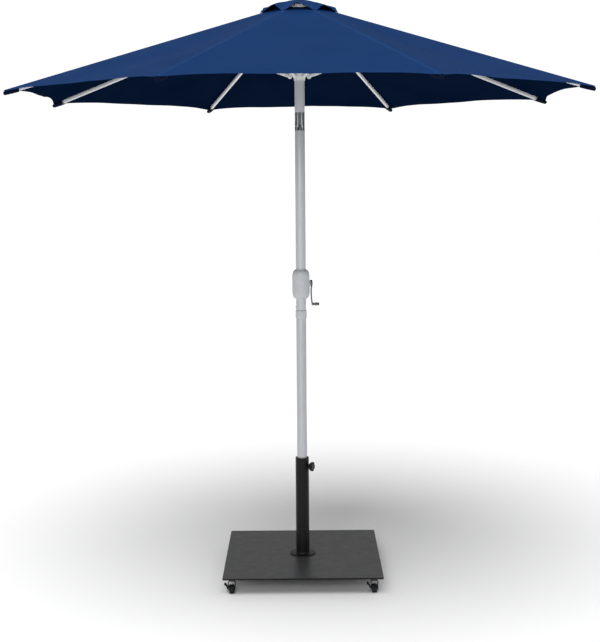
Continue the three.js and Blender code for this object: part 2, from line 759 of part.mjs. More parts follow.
for (let i = 0; i < RIB_COUNT; i += 1) {
  const side = new THREE.Group();
  side.rotation.z = cornerAzimuth(i);
  place(`rib_${i + 1}`, rib(), 'rib', side);
  place(`strut_${i + 1}`, strut(), 'rib', side);
  place(`canopy_${i + 1}`, canopyShare(), 'canvas', side);
  umbrella.add(side);
}

export default umbrella;
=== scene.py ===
import json
import math
import bmesh
import bpy
import numpy as np
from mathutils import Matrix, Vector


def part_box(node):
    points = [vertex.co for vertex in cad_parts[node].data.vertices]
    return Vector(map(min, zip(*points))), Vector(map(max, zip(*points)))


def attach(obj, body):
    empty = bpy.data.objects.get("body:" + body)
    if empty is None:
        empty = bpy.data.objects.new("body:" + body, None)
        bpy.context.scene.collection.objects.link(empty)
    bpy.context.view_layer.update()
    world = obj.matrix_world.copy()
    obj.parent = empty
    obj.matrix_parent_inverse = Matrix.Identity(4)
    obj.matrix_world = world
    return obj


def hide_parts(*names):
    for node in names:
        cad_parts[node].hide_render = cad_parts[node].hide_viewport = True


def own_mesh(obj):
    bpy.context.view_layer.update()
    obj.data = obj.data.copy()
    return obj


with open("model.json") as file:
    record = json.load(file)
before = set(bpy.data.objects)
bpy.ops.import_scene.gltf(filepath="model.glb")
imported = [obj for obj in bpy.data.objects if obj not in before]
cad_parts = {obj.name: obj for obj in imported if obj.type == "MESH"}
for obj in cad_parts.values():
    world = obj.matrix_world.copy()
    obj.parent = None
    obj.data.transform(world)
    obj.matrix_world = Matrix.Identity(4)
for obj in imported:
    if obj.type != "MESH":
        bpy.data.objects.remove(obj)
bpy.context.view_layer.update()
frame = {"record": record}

# The studio: a wide pale floor under an even white sky, with one broad soft sun high on the front
# left and a softbox in front. The camera stands 5.5 m in front of the pole, a little over eye height.
bpy.context.scene.view_settings.view_transform = "Standard"
IMAGE_HEIGHT = 642
SENSOR = 36
FOCAL_RATIO = 1208 / IMAGE_HEIGHT
SHIFT_X = -0.1 / IMAGE_HEIGHT
SHIFT_Y = -25 / IMAGE_HEIGHT
CAMERA_DISTANCE = 5.5
CAMERA_HEIGHT = 1.870
CAMERA_PITCH = math.radians(6)
CAMERA_ROLL = math.radians(0.42)
SKY_LIGHT = 0.42
SKY_SEEN = 1.05

camera_data = bpy.data.cameras.new("camera")
camera_data.sensor_width = SENSOR
camera_data.lens = SENSOR * FOCAL_RATIO
camera_data.shift_x = SHIFT_X
camera_data.shift_y = SHIFT_Y
camera = bpy.data.objects.new("camera", camera_data)
camera.location = (0, -CAMERA_DISTANCE, CAMERA_HEIGHT)
camera.rotation_euler = (math.pi / 2 - CAMERA_PITCH, CAMERA_ROLL, 0)
bpy.context.collection.objects.link(camera)
bpy.context.scene.camera = camera

world = bpy.data.worlds.new("white sky")
bpy.context.scene.world = world
world.use_nodes = True
sky_nodes, sky_links = world.node_tree.nodes, world.node_tree.links
sky_nodes.clear()
sky_out = sky_nodes.new("ShaderNodeOutputWorld")
sky_mix = sky_nodes.new("ShaderNodeMixShader")
sky_path = sky_nodes.new("ShaderNodeLightPath")
for socket, strength in ((1, SKY_LIGHT), (2, SKY_SEEN)):
    sky = sky_nodes.new("ShaderNodeBackground")
    sky.inputs["Color"].default_value = (1, 1, 1, 1)
    sky.inputs["Strength"].default_value = strength
    sky_links.new(sky.outputs[0], sky_mix.inputs[socket])
sky_links.new(sky_path.outputs["Is Camera Ray"], sky_mix.inputs[0])
sky_links.new(sky_mix.outputs[0], sky_out.inputs["Surface"])


def studio_light(name, kind, energy, turn, place=(0, 0, 0)):
    """A lamp of one kind at a place, turned by three angles in degrees. Returns its settings."""
    data = bpy.data.lights.new(name, kind)
    data.energy = energy
    lamp = bpy.data.objects.new(name, data)
    lamp.location = place
    lamp.rotation_euler = [math.radians(angle) for angle in turn]
    bpy.context.collection.objects.link(lamp)
    return data


sun = studio_light("sun", "SUN", 2.25, (20, 0, -14))
sun.angle = math.radians(50)
softbox = studio_light("front softbox", "AREA", 170, (76, 0, -9), (-1.2, -7.5, 3.4))
softbox.size = 2.2

FLOOR_SIDE = 80
floor_mesh = bpy.data.meshes.new("floor")
floor_edge = FLOOR_SIDE / 2
floor_signs = ((-1, -1), (1, -1), (1, 1), (-1, 1))
floor_mesh.from_pydata([(x * floor_edge, y * floor_edge, 0) for x, y in floor_signs], [], [(0, 1, 2, 3)])
floor = bpy.data.objects.new("floor", floor_mesh)
bpy.context.collection.objects.link(floor)


def new_finish(name, colour, roughness, metallic=0.0):
    """A material with one Principled shader. Returns the material, its node tree and the shader."""
    material = bpy.data.materials.new(name)
    material.use_nodes = True
    shader = material.node_tree.nodes["Principled BSDF"]
    shader.inputs["Base Color"].default_value = (*colour, 1)
    shader.inputs["Roughness"].default_value = roughness
    shader.inputs["Metallic"].default_value = metallic
    return material, material.node_tree, shader


floor_finish = new_finish("pale floor", (0.96, 0.96, 0.96), 0.95)[0]
floor_mesh.materials.append(floor_finish)

# The base plate: a square of 8 mm steel with rounded corners, and four short tubes welded beneath
# for the casters. Both are powder coated in half-gloss black; the plate's top and bottom take a greyer coat,
# and its edge the darker tube coat as painted shade on its sides.
joints = {joint["name"]: joint for joint in frame["record"]["behaviour"]["joints"]}


def span(node):
    """A CAD node's lowest and highest corners at rest, as two arrays."""
    low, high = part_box(node)
    return np.array(low), np.array(high)


def pivot(joint):
    """A point on a joint's axis at rest."""
    return np.array(joints[joint]["pos_m"], float)


def grid_shell(grid, wrap_rows=False, wrap_columns=False, caps=False):
    """The points of a rows x columns x 3 grid, and a quad between each two rows and columns. A wrap
    joins the last row or column to the first, and caps close the first and last row with a face."""
    rows, columns = grid.shape[:2]
    index = np.arange(rows * columns).reshape(rows, columns)
    if wrap_rows:
        index = np.vstack([index, index[:1]])
    if wrap_columns:
        index = np.hstack([index, index[:, :1]])
    quads = np.stack([index[:-1, :-1], index[:-1, 1:], index[1:, 1:], index[1:, :-1]], axis=-1)
    faces = quads.reshape(-1, 4).tolist()
    if caps:
        faces += [list(range(columns))[::-1], list(range((rows - 1) * columns, rows * columns))]
    return grid.reshape(-1, 3), faces


def round_grid(radius, angle, height):
    """Points about Z on one common grid: x = r cos a, y = r sin a, z = height."""
    return np.stack(np.broadcast_arrays(radius * np.cos(angle), radius * np.sin(angle), height), axis=-1)


def turned_shell(profile, steps=64, arc=(0, 2 * math.pi), closed=False):
    """A profile of (radius, height) pairs turned about Z. A closed profile is a ring in section, and
    a part turn of one gets its two end faces."""
    profile = np.array(profile, float)
    whole = arc[1] - arc[0] > 2 * math.pi - 1e-6
    angle = np.linspace(arc[0], arc[1], steps + 1)[: steps if whole else steps + 1]
    grid = round_grid(profile[:, 0], angle[:, None], profile[:, 1])
    return grid_shell(grid, wrap_rows=whole, wrap_columns=closed, caps=not whole and closed)


def rounded(profile, radius, steps=4):
    """Each inner corner of a line of points is cut by an arc: points at the same distance before and
    after the corner, joined by a quadratic curve that has the corner as its handle."""
    profile = [np.array(p, float) for p in profile]
    out = [profile[0]]
    for before, corner, after in zip(profile, profile[1:], profile[2:]):
        reach = [min(radius, np.linalg.norm(p - corner) * 0.45) for p in (before, after)]
        start = corner + (before - corner) / np.linalg.norm(before - corner) * reach[0]
        end = corner + (after - corner) / np.linalg.norm(after - corner) * reach[1]
        t = np.linspace(0, 1, steps + 1)[:, None]
        out.extend((1 - t) ** 2 * start + 2 * t * (1 - t) * corner + t**2 * end)
    out.append(profile[-1])
    return np.array(out)


def plate_shell(outline, thickness):
    """A flat outline in the XY plane given a thickness, centred on z = 0."""
    outline = np.array(outline, float)
    ring = [np.column_stack([outline, np.full(len(outline), z)]) for z in (-thickness / 2, thickness / 2)]
    return grid_shell(np.array(ring), wrap_columns=True, caps=True)


def moved(shell, offset=(0, 0, 0), turn=np.eye(3)):
    """A shell turned by a matrix, then shifted."""
    return shell[0] @ np.array(turn, float).T + np.array(offset, float), shell[1]


def turn_about(axis, angle):
    """The rotation matrix about one of the row's axes."""
    c, s = math.cos(angle), math.sin(angle)
    return {
        "x": np.array([[1, 0, 0], [0, c, -s], [0, s, c]]),
        "y": np.array([[c, 0, s], [0, 1, 0], [-s, 0, c]]),
        "z": np.array([[c, -s, 0], [s, c, 0], [0, 0, 1]]),
    }[axis]


Z_TO_X = turn_about("y", math.pi / 2)
Z_TO_Y = turn_about("x", -math.pi / 2)
CRISP_ANGLE = math.radians(40)
MERGE_DISTANCE = 1e-6


def make_piece(name, body, parts, nodes=(), bevel=0.0):
    """One object made of (shell, material) parts, riding on a body. Doubled points are merged, faces
    turned outward, edges over CRISP_ANGLE kept sharp, and bevelled where a bevel is given."""
    mesh = bpy.data.meshes.new(name)
    materials = []
    points, faces, slots = [], [], []
    for shell, material in parts:
        if material not in materials:
            materials.append(material)
        start = sum(len(p) for p in points)
        points.append(shell[0])
        faces += [[i + start for i in face] for face in shell[1]]
        slots += [materials.index(material)] * len(shell[1])
    mesh.from_pydata(np.concatenate(points).tolist(), [], faces)
    for material in materials:
        mesh.materials.append(material)
    mesh.polygons.foreach_set("material_index", slots)
    work = bmesh.new()
    work.from_mesh(mesh)
    bmesh.ops.remove_doubles(work, verts=work.verts, dist=MERGE_DISTANCE)
    bmesh.ops.recalc_face_normals(work, faces=work.faces)
    work.to_mesh(mesh)
    work.free()
    mesh.shade_smooth()
    mesh.set_sharp_from_angle(angle=CRISP_ANGLE)
    piece = bpy.data.objects.new(name, mesh)
    bpy.context.collection.objects.link(piece)
    if bevel:
        edge = piece.modifiers.new("bevel", "BEVEL")
        edge.width = bevel
        edge.segments = 2
        edge.limit_method = "ANGLE"
        edge.angle_limit = CRISP_ANGLE
    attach(piece, body)
    if nodes:
        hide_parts(*nodes)
    return piece


def noise(tree, scale, detail=4.0, roughness=0.55, stretch=(1, 1, 1)):
    """A noise texture read in metres on the piece's own coordinates, stretched per axis."""
    texture = tree.nodes.new("ShaderNodeTexNoise")
    place = tree.nodes.new("ShaderNodeMapping")
    source = tree.nodes.new("ShaderNodeTexCoord")
    place.inputs["Scale"].default_value = stretch
    texture.inputs["Scale"].default_value = scale
    texture.inputs["Detail"].default_value = detail
    texture.inputs["Roughness"].default_value = roughness
    tree.links.new(source.outputs["Object"], place.inputs["Vector"])
    tree.links.new(place.outputs["Vector"], texture.inputs["Vector"])
    return texture.outputs["Fac"]


def ramp(tree, value, stops):
    """A colour ramp from (position, colour) stops, where a plain number stands for a grey."""
    node = tree.nodes.new("ShaderNodeValToRGB")
    elements = node.color_ramp.elements
    while len(elements) < len(stops):
        elements.new(0.5)
    for element, (position, colour) in zip(elements, stops):
        element.position = position
        element.color = (*np.broadcast_to(colour, 3), 1)
    tree.links.new(value, node.inputs["Fac"])
    return node.outputs["Color"]


def drive(tree, shader, socket, value, stops):
    """Lets a value set one of the shader's sockets through a ramp."""
    tree.links.new(ramp(tree, value, stops), shader.inputs[socket])


def tinted(colour, factor, lift=0.0):
    """Each channel times a factor plus a lift, and no brighter than white."""
    return tuple(min(1, c * factor + lift) for c in colour)


def bump(tree, shader, height, strength, distance):
    """Raises the surface by a height from 0 to 1 times a distance in metres, weighted by a strength,
    on top of any relief that it already has."""
    node = tree.nodes.new("ShaderNodeBump")
    node.inputs["Strength"].default_value = strength
    node.inputs["Distance"].default_value = distance
    tree.links.new(height, node.inputs["Height"])
    if shader.inputs["Normal"].is_linked:
        before = shader.inputs["Normal"].links[0].from_socket
        tree.links.new(before, node.inputs["Normal"])
    tree.links.new(node.outputs["Normal"], shader.inputs["Normal"])


def powder_coat(name, colour, roughness, dust=0.3, gloss=0.5):
    """Black baked powder: a fine orange peel, faint handling marks in the gloss and a little dust."""
    material, tree, shader = new_finish(name, colour, roughness)
    shader.inputs["Specular IOR Level"].default_value = gloss
    bump(tree, shader, noise(tree, 900, detail=2), 0.25, 0.0006)
    marks = noise(tree, 22, detail=8, roughness=0.7)
    drive(tree, shader, "Base Color", marks, [(0.35, colour), (0.75, tinted(colour, 1, 0.01 * dust))])
    drive(tree, shader, "Roughness", marks, [(0.3, roughness - 0.05), (0.7, roughness + 0.09)])
    return material


plate_coat = powder_coat("plate powder coat", (0.028, 0.029, 0.031), 0.36, dust=0.8)
tube_coat = powder_coat("tube powder coat", (0.0045, 0.0047, 0.0052), 0.32, gloss=0.16)

PLATE_CORNER = 0.007
PLATE_THICKNESS = 0.008
STEM_RADIUS = 0.008
plate_low, plate_high = span("base_plate")
plate_half = plate_high[0]
stem_foot = plate_low[2]
plate_top = plate_high[2]
plate_underside = plate_top - PLATE_THICKNESS


def rounded_square(half_x, half_y, radius, steps=6):
    """Four quarter circles, one about each inner corner, going round once."""
    quarter = np.linspace(0, math.pi / 2, steps + 1)
    rings = []
    for k, (sx, sy) in enumerate(((1, 1), (-1, 1), (-1, -1), (1, -1))):
        angle = quarter + k * math.pi / 2
        x = sx * (half_x - radius) + radius * np.cos(angle)
        y = sy * (half_y - radius) + radius * np.sin(angle)
        rings.append(np.column_stack([x, y]))
    return np.concatenate(rings)


slab = plate_shell(rounded_square(plate_half, plate_half, PLATE_CORNER), plate_top - plate_underside)
slab = moved(slab, (0, 0, (plate_top + plate_underside) / 2))
# Painted shade: the slab's edge faces take the darker tube coat, standing in for shade on the plate's sides.
shaded_slab_edge, slab_faces = (slab[0], slab[1][:-2]), (slab[0], slab[1][-2:])
slab_parts = [(shaded_slab_edge, tube_coat), (slab_faces, plate_coat)]
make_piece("plate_steel", "base", slab_parts, ["base_plate"], bevel=0.0012)

CASTERS = range(1, 5)
stems = []
for i in CASTERS:
    at = pivot(f"caster_swivel_{i}") * (1, 1, 0)
    stem = rounded([(0, stem_foot), (STEM_RADIUS, stem_foot), (STEM_RADIUS, plate_underside - 0.001)], 0.001)
    weld = [(STEM_RADIUS, plate_underside - 0.003), (STEM_RADIUS + 0.002, plate_underside - 0.0022),
            (STEM_RADIUS + 0.003, plate_underside), (0, plate_underside)]
    stems.append((moved(turned_shell(np.vstack([stem, weld]), 32), at), tube_coat))
make_piece("caster_stems", "base", stems)

# The base tube: a 62 mm steel tube on a thin round flange, welded to the plate, with a screw boss
# near its rim. It holds the pole, with a plastic sleeve inside the mouth to take up the play.
tube_low, tube_high = span("base_tube")
TUBE_RADIUS = 0.031
TUBE_BORE = 0.029
SLEEVE_BORE = 0.0231
flange_radius = tube_high[1]
flange_top = tube_low[2] + 0.0035
tube_top = tube_high[2]


def lathe(points, ease, steps, ease_steps=4):
    """A line of points with its corners eased by a radius, turned about Z."""
    return turned_shell(rounded(points, ease, ease_steps), steps)


tube_shape = lathe([
    (TUBE_BORE, tube_low[2]), (flange_radius, tube_low[2]), (flange_radius, flange_top),
    (TUBE_RADIUS + 0.004, flange_top), (TUBE_RADIUS, flange_top + 0.005), (TUBE_RADIUS, tube_top),
    (TUBE_BORE, tube_top), (TUBE_BORE, tube_low[2]),
], 0.0014, 96)
knob_axis = np.array(joints["clamp_screw"]["axis"], float)
knob_height = pivot("clamp_knob_turn")[2]
knob_turn = turn_about("z", math.atan2(knob_axis[1], knob_axis[0])) @ Z_TO_X
boss = lathe([
    (0.0045, 0.030), (0.0045, 0.0375), (0.009, 0.0375), (0.009, 0.033), (0.0115, 0.0305), (0.0045, 0.030),
], 0.001, 32)
parts = [(tube_shape, tube_coat), (moved(boss, (0, 0, knob_height), knob_turn), tube_coat)]
make_piece("base_tube_steel", "base", parts, ["base_tube"])


def moulded(name, colour, roughness, grain=500, relief=0.12, vary=0.12, gloss=0.5):
    """Moulded plastic: a fine spark-eroded grain, slow flow marks in the colour and an uneven gloss."""
    material, tree, shader = new_finish(name, colour, roughness)
    shader.inputs["Specular IOR Level"].default_value = gloss
    bump(tree, shader, noise(tree, grain, detail=3), relief, 0.0004)
    flow = noise(tree, 30, detail=5)
    stops = [(0.3, tinted(colour, 1 - vary)), (0.7, tinted(colour, 1 + vary))]
    drive(tree, shader, "Base Color", flow, stops)
    drive(tree, shader, "Roughness", flow, [(0.3, roughness - 0.06), (0.7, roughness + 0.08)])
    return material


black_plastic = moulded("black plastic", (0.006, 0.006, 0.0065), 0.36, gloss=0.22)
insert_low, insert_high = span("tube_insert")
sleeve_shape = lathe([
    (SLEEVE_BORE, insert_low[2]), (0.0286, insert_low[2] + 0.004), (0.0286, insert_high[2]),
    (0.0235, insert_high[2]), (SLEEVE_BORE, insert_low[2]),
], 0.0008, 64)
make_piece("mouth_sleeve", "base", [(sleeve_shape, black_plastic)], ["tube_insert"])

# The clamp screw: an M8 stud with a five-lobed black knob moulded on. Tightened, the stud's end
# presses on the pole and stops it turning.
KNOB_NEAR = 0.0385
KNOB_SEAT = 0.0415
KNOB_FAR = 0.0575
KNOB_RADIUS = 0.022
THREAD_ROWS_PER_TURN = 6
THREAD_STEPS_ROUND = 20


def zinc_plated(name, colour=(0.46, 0.48, 0.5), roughness=0.34):
    """Bright zinc on steel: metal with a faint spangle in colour and gloss and fine draw lines."""
    material, tree, shader = new_finish(name, colour, roughness, 1.0)
    spangle = noise(tree, 160, detail=6, roughness=0.65)
    drive(tree, shader, "Base Color", spangle, [(0.3, tinted(colour, 0.8)), (0.7, tinted(colour, 1.2))])
    drive(tree, shader, "Roughness", spangle, [(0.3, roughness - 0.08), (0.7, roughness + 0.12)])
    bump(tree, shader, noise(tree, 700, detail=2), 0.15, 0.0003)
    return material


zinc = zinc_plated("zinc plate")


def threaded_rod(radius, start, end, pitch):
    """A rod whose radius falls and rises once a pitch, and climbs by one pitch in each turn."""
    rows = int((end - start) / pitch * THREAD_ROWS_PER_TURN)
    along = np.linspace(start, end, rows)[:, None]
    angle = np.linspace(0, 2 * math.pi, THREAD_STEPS_ROUND, endpoint=False)[None]
    depth = 0.06 * radius * (1 + np.cos(2 * math.pi * along / pitch - angle))
    return grid_shell(round_grid(radius - depth, angle, along), wrap_columns=True, caps=True)


stud = moved(threaded_rod(0.004, 0.0234, 0.051, 0.0015), (0, 0, knob_height), knob_turn)
make_piece("clamp_screw_stud", "clamp_stud", [(stud, zinc)], ["clamp_stud"])


def lobed_knob():
    """A turned profile whose radius also swells and falls five times a turn, most at mid height."""
    profile = rounded([
        (0, KNOB_NEAR), (0.0085, KNOB_NEAR), (0.0085, KNOB_SEAT), (KNOB_RADIUS, KNOB_SEAT + 0.001),
        (KNOB_RADIUS, KNOB_FAR - 0.002), (0.013, KNOB_FAR), (0.011, KNOB_FAR - 0.0015),
        (0, KNOB_FAR - 0.0015),
    ], 0.0035, 6)
    angle = np.linspace(0, 2 * math.pi, 120, endpoint=False)[None]
    radius, along = profile[:, :1], profile[:, 1:]
    lobing = 0.085 * np.clip((radius - 0.009) / 0.013, 0, 1) * (np.cos(5 * angle) - 1)
    return grid_shell(round_grid(radius * (1 + lobing), angle, along), wrap_columns=True)


knob_plastic = moulded("knob plastic", (0.005, 0.005, 0.0055), 0.36, grain=900, gloss=0.2)
knob = moved(lobed_knob(), (0, 0, knob_height), knob_turn)
make_piece("lobed_knob", "clamp_knob", [(knob, knob_plastic)], ["clamp_knob"])

# The casters: a bent black arch over each wheel, on a swivelling zinc race, with a hard rubber tyre
# on a plastic hub. The two at the front have a side pedal that tips down to lock the wheel.
WHEEL_RADIUS = 0.020
WHEEL_HALF = 0.011
ARCH_RADIUS = 0.0155
ARCH_CENTRE = 0.045
LEG_FOOT = 0.0145
LEG_KNEE = 0.030
LEG_HALF = 0.0135
TRAIL = 0.010


def swept_shell(path, sections, sideways=(0, 1, 0)):
    """A closed section carried along a path: each section's first axis lies along sideways, and its
    second square to both that and the path."""
    path = np.array(path, float)
    ahead = np.gradient(path, axis=0)
    ahead /= np.linalg.norm(ahead, axis=1, keepdims=True)
    side = np.array(sideways, float) - ahead * (ahead @ np.array(sideways, float))[:, None]
    side /= np.linalg.norm(side, axis=1, keepdims=True)
    up = np.cross(ahead, side)
    sections = np.broadcast_to(sections, (len(path), *np.shape(sections)[-2:]))
    grid = path[:, None] + sections[..., :1] * side[:, None] + sections[..., 1:] * up[:, None]
    return grid_shell(grid, wrap_columns=True, caps=True)


rubber, rubber_tree, rubber_shader = new_finish("tyre rubber", (0.013, 0.013, 0.014), 0.62)
rubber_shader.inputs["Specular IOR Level"].default_value = 0.2
scuffs = noise(rubber_tree, 120, detail=8, roughness=0.75)
rubber_greys = [(0.4, (0.006, 0.006, 0.0065)), (0.8, (0.02, 0.0195, 0.019))]
drive(rubber_tree, rubber_shader, "Base Color", scuffs, rubber_greys)
bump(rubber_tree, rubber_shader, scuffs, 0.3, 0.0004)
blued_steel = zinc_plated("blued steel", (0.25, 0.33, 0.46), 0.3)

XZ_PLATE = turn_about("x", math.pi / 2)
arch_bend = round_grid(ARCH_RADIUS, np.linspace(0, math.pi, 25), 0) @ XZ_PLATE.T
arch_path = np.concatenate([
    [(LEG_HALF, 0, LEG_FOOT), (LEG_HALF + 0.0004, 0, LEG_KNEE)],
    arch_bend + (0, 0, ARCH_CENTRE),
    [(-LEG_HALF - 0.0004, 0, LEG_KNEE), (-LEG_HALF, 0, LEG_FOOT)],
])
for i in CASTERS:
    at = pivot(f"caster_swivel_{i}") * (1, 1, 0)
    axle = at + (0, TRAIL, WHEEL_RADIUS)
    arch = moved(swept_shell(arch_path, rounded_square(0.0072, 0.0019, 0.0014, 3)), at + (0, TRAIL, 0))
    crown = lathe([
        (0, 0.0585), (0.0075, 0.0585), (0.0105, 0.0602), (0.0112, 0.0628), (0.008, 0.0638), (0, 0.0638),
    ], 0.001, 40)
    race = lathe([
        (0, 0.0638), (0.0094, 0.0638), (0.0098, 0.0646), (0.0085, 0.0657), (0, 0.0657),
    ], 0.0004, 40)
    bolt = lathe([
        (0, -0.0178), (0.0045, -0.0178), (0.0052, -0.0162), (0.0052, -0.0150), (0.003, -0.0150),
        (0.003, 0.0150), (0.0055, 0.0150), (0.0055, 0.0176), (0.0028, 0.0192), (0, 0.0192),
    ], 0.0004, 24)
    make_piece(f"caster_arch_{i}", f"caster_fork_{i}", [
        (arch, black_plastic),
        (moved(crown, at), black_plastic),
        (moved(race, at), zinc),
        (moved(bolt, axle, Z_TO_X), blued_steel),
    ], [f"caster_fork_{i}"], bevel=0.0003)
    tyre = lathe([
        (0.0145, -WHEEL_HALF + 0.001), (0.0155, -WHEEL_HALF), (0.0180, -WHEEL_HALF), (WHEEL_RADIUS, -0.0075),
        (WHEEL_RADIUS, 0.0075), (0.0180, WHEEL_HALF), (0.0155, WHEEL_HALF), (0.0145, WHEEL_HALF - 0.001),
        (0.0145, -WHEEL_HALF + 0.001),
    ], 0.0018, 56, 5)
    hub = lathe([
        (0.0036, -WHEEL_HALF), (0.0065, -WHEEL_HALF), (0.0075, -0.0080), (0.0130, -0.0080),
        (0.0144, -0.0098), (0.0144, 0.0098), (0.0130, 0.0080), (0.0075, 0.0080), (0.0065, WHEEL_HALF),
        (0.0036, WHEEL_HALF), (0.0036, -WHEEL_HALF),
    ], 0.0006, 48)
    make_piece(f"wheel_{i}", f"caster_wheel_{i}", [
        (moved(tyre, axle, Z_TO_X), rubber), (moved(hub, axle, Z_TO_X), black_plastic),
    ], [f"caster_wheel_{i}"])

PEDAL_WIDTH = 0.014
PEDAL_OUTLINE = [
    (-0.0166, 0.022), (-0.0205, 0.0205), (-0.0245, 0.032), (-0.0335, 0.0405), (-0.0345, 0.0445),
    (-0.032, 0.0475), (-0.026, 0.0455), (-0.0205, 0.038), (-0.0168, 0.031),
]
TAB_PATH = [
    (-0.0175, 0, 0.0225), (-0.0205, 0, 0.0185), (-0.0222, 0, 0.013), (-0.0214, 0, 0.0085),
    (-0.0185, 0, 0.007),
]
for i in CASTERS[:2]:
    at = pivot(f"caster_swivel_{i}") * (1, 1, 0)
    outline = rounded(PEDAL_OUTLINE + PEDAL_OUTLINE[:1], 0.0015)
    pedal = moved(plate_shell(outline[:-1], PEDAL_WIDTH), turn=XZ_PLATE)
    tab = swept_shell(TAB_PATH, rounded_square(0.0045, 0.0007, 0.0005, 3))
    make_piece(f"brake_pedal_{i}", f"caster_brake_{i}", [
        (moved(pedal, at + (0, TRAIL, 0)), black_plastic), (moved(tab, at + (0, TRAIL, 0)), blued_steel),
    ], [f"caster_brake_{i}"], bevel=0.0012)

# The pole: two 45 mm aluminium tubes in satin silver. The lower one ends in a swaged spigot under a
# plastic collar, the upper one slips over it and is held by a sprung button at its side.
POLE_RADIUS = 0.0225
POLE_BORE = 0.021
PLUG_RADIUS = 0.0204


def satin_silver(name, colour, roughness, metallic):
    """Silver lacquer on drawn tube: long faint draw lines, slow patches of gloss, a fine grain."""
    material, tree, shader = new_finish(name, colour, roughness, metallic)
    shader.inputs["Specular IOR Level"].default_value = 0.2
    lines = noise(tree, 260, detail=3, stretch=(1, 1, 0.02))
    drive(tree, shader, "Base Color", lines, [(0.35, tinted(colour, 0.93)), (0.65, tinted(colour, 1.05))])
    patches = noise(tree, 9, detail=6, roughness=0.65)
    drive(tree, shader, "Roughness", patches, [(0.3, roughness - 0.05), (0.7, roughness + 0.08)])
    bump(tree, shader, lines, 0.08, 0.0003)
    bump(tree, shader, noise(tree, 1100, detail=2), 0.06, 0.0003)
    return material


silver = satin_silver("satin silver", (0.50, 0.51, 0.54), 0.5, 0.3)


def tube_shell(bottom, top, steps=80, arc=(0, 2 * math.pi)):
    """The pole's tube with eased edges, or the part of it between two angles."""
    middle = (POLE_BORE, (bottom + top) / 2)
    ring = rounded([
        middle, (POLE_BORE, bottom), (POLE_RADIUS, bottom), (POLE_RADIUS, top), (POLE_BORE, top), middle,
    ], 0.0007, 3)
    return turned_shell(ring[:-1], steps, arc, closed=True)


foot_low, foot_high = span("pole_foot")
foot = lathe([
    (0, foot_low[2]), (POLE_RADIUS - 0.0003, foot_low[2]), (POLE_RADIUS - 0.0003, foot_low[2] + 0.006),
    (PLUG_RADIUS, foot_low[2] + 0.006), (PLUG_RADIUS, foot_high[2]), (0, foot_high[2]),
], 0.001, 48)
make_piece("pole_end_plug", "pole_foot", [(foot, black_plastic)], ["pole_foot"])

lower_low, lower_high = span("lower_pole")
joint_height = span("upper_pole")[0][2]
lower = lathe([
    (POLE_BORE, lower_low[2] + 0.1), (POLE_BORE, lower_low[2]), (POLE_RADIUS, lower_low[2]),
    (POLE_RADIUS, joint_height - 0.0005), (0.0206, joint_height), (0.0206, lower_high[2]),
    (0.019, lower_high[2]), (0.019, joint_height - 0.008), (POLE_BORE, joint_height - 0.016),
    (POLE_BORE, lower_low[2] + 0.1),
], 0.0008, 80)
make_piece("pole_lower_tube", "mast", [(lower, silver)], ["lower_pole"])

grey_plastic = moulded("silver-grey plastic", (0.47, 0.48, 0.51), 0.4, relief=0.08, vary=0.05)
collar_low, collar_high = span("pole_collar")
collar = lathe([
    (0.0228, collar_low[2]), (0.0248, collar_low[2]), (0.0254, collar_low[2] + 0.004),
    (0.0254, collar_high[2] - 0.004), (0.0243, collar_high[2]), (0.0228, collar_high[2]),
    (0.0228, collar_low[2]),
], 0.0012, 72)
make_piece("joint_collar", "mast", [(collar, grey_plastic)], ["pole_collar"])

button_low, button_high = span("snap_button")
button_height = (button_low[2] + button_high[2]) / 2
button = lathe([
    (0, 0.0155), (0.0052, 0.0155), (0.0052, 0.0174), (0.004, 0.0174), (0.004, 0.0238), (0.002, 0.0252),
    (0, 0.0254),
], 0.0007, 28)
button = moved(button, (0, 0, button_height), turn_about("y", -math.pi / 2))
make_piece("spring_button", "snap_button", [(button, zinc)], ["snap_button"])

# The tilt joint: the front half of the pole is cut away there, and a steel fork in the lower tube
# holds a knuckle of the upper one on a cross pin, with a coil spring that snaps it upright.
tilt_at = pivot("tilt")
TILT_GAP = 0.0005
WINDOW_BOTTOM = 2.043
WINDOW_TOP = 2.124
REAR_HALF = (0, math.pi)
WINDOW_OVERLAP = 0.001
upper_parts = [
    (tube_shell(joint_height, WINDOW_BOTTOM), silver),
    (tube_shell(WINDOW_BOTTOM - WINDOW_OVERLAP, tilt_at[2] - TILT_GAP, 40, REAR_HALF), silver),
]
make_piece("pole_upper_tube", "mast", upper_parts, ["upper_pole"])

canopy_tube_top = span("canopy_tube")[1][2]
canopy_tube_parts = [
    (tube_shell(WINDOW_TOP, canopy_tube_top), silver),
    (tube_shell(tilt_at[2] + TILT_GAP, WINDOW_TOP + WINDOW_OVERLAP, 40, REAR_HALF), silver),
]
make_piece("pole_top_tube", "head", canopy_tube_parts, ["canopy_tube"])


LEAF_THICKNESS = 0.0036
YZ_PLATE = np.array([[0, 0, 1], [1, 0, 0], [0, 1, 0]])


def leaves(half_width, foot, offset, material):
    """A plate on each side of the middle: two straight sides from its foot up or down to the pin's
    height, and half a circle beyond."""
    centre = tilt_at[2]
    away = math.copysign(1, centre - foot)
    angle = np.linspace(0, math.pi, 14)
    arc = np.column_stack([half_width * np.cos(angle), centre + away * half_width * np.sin(angle)])
    plate = plate_shell(np.vstack([[(half_width, foot)], arc, [(-half_width, foot)]]), LEAF_THICKNESS)
    return [(moved(plate, (side * offset, 0, 0), YZ_PLATE), material) for side in (-1, 1)]


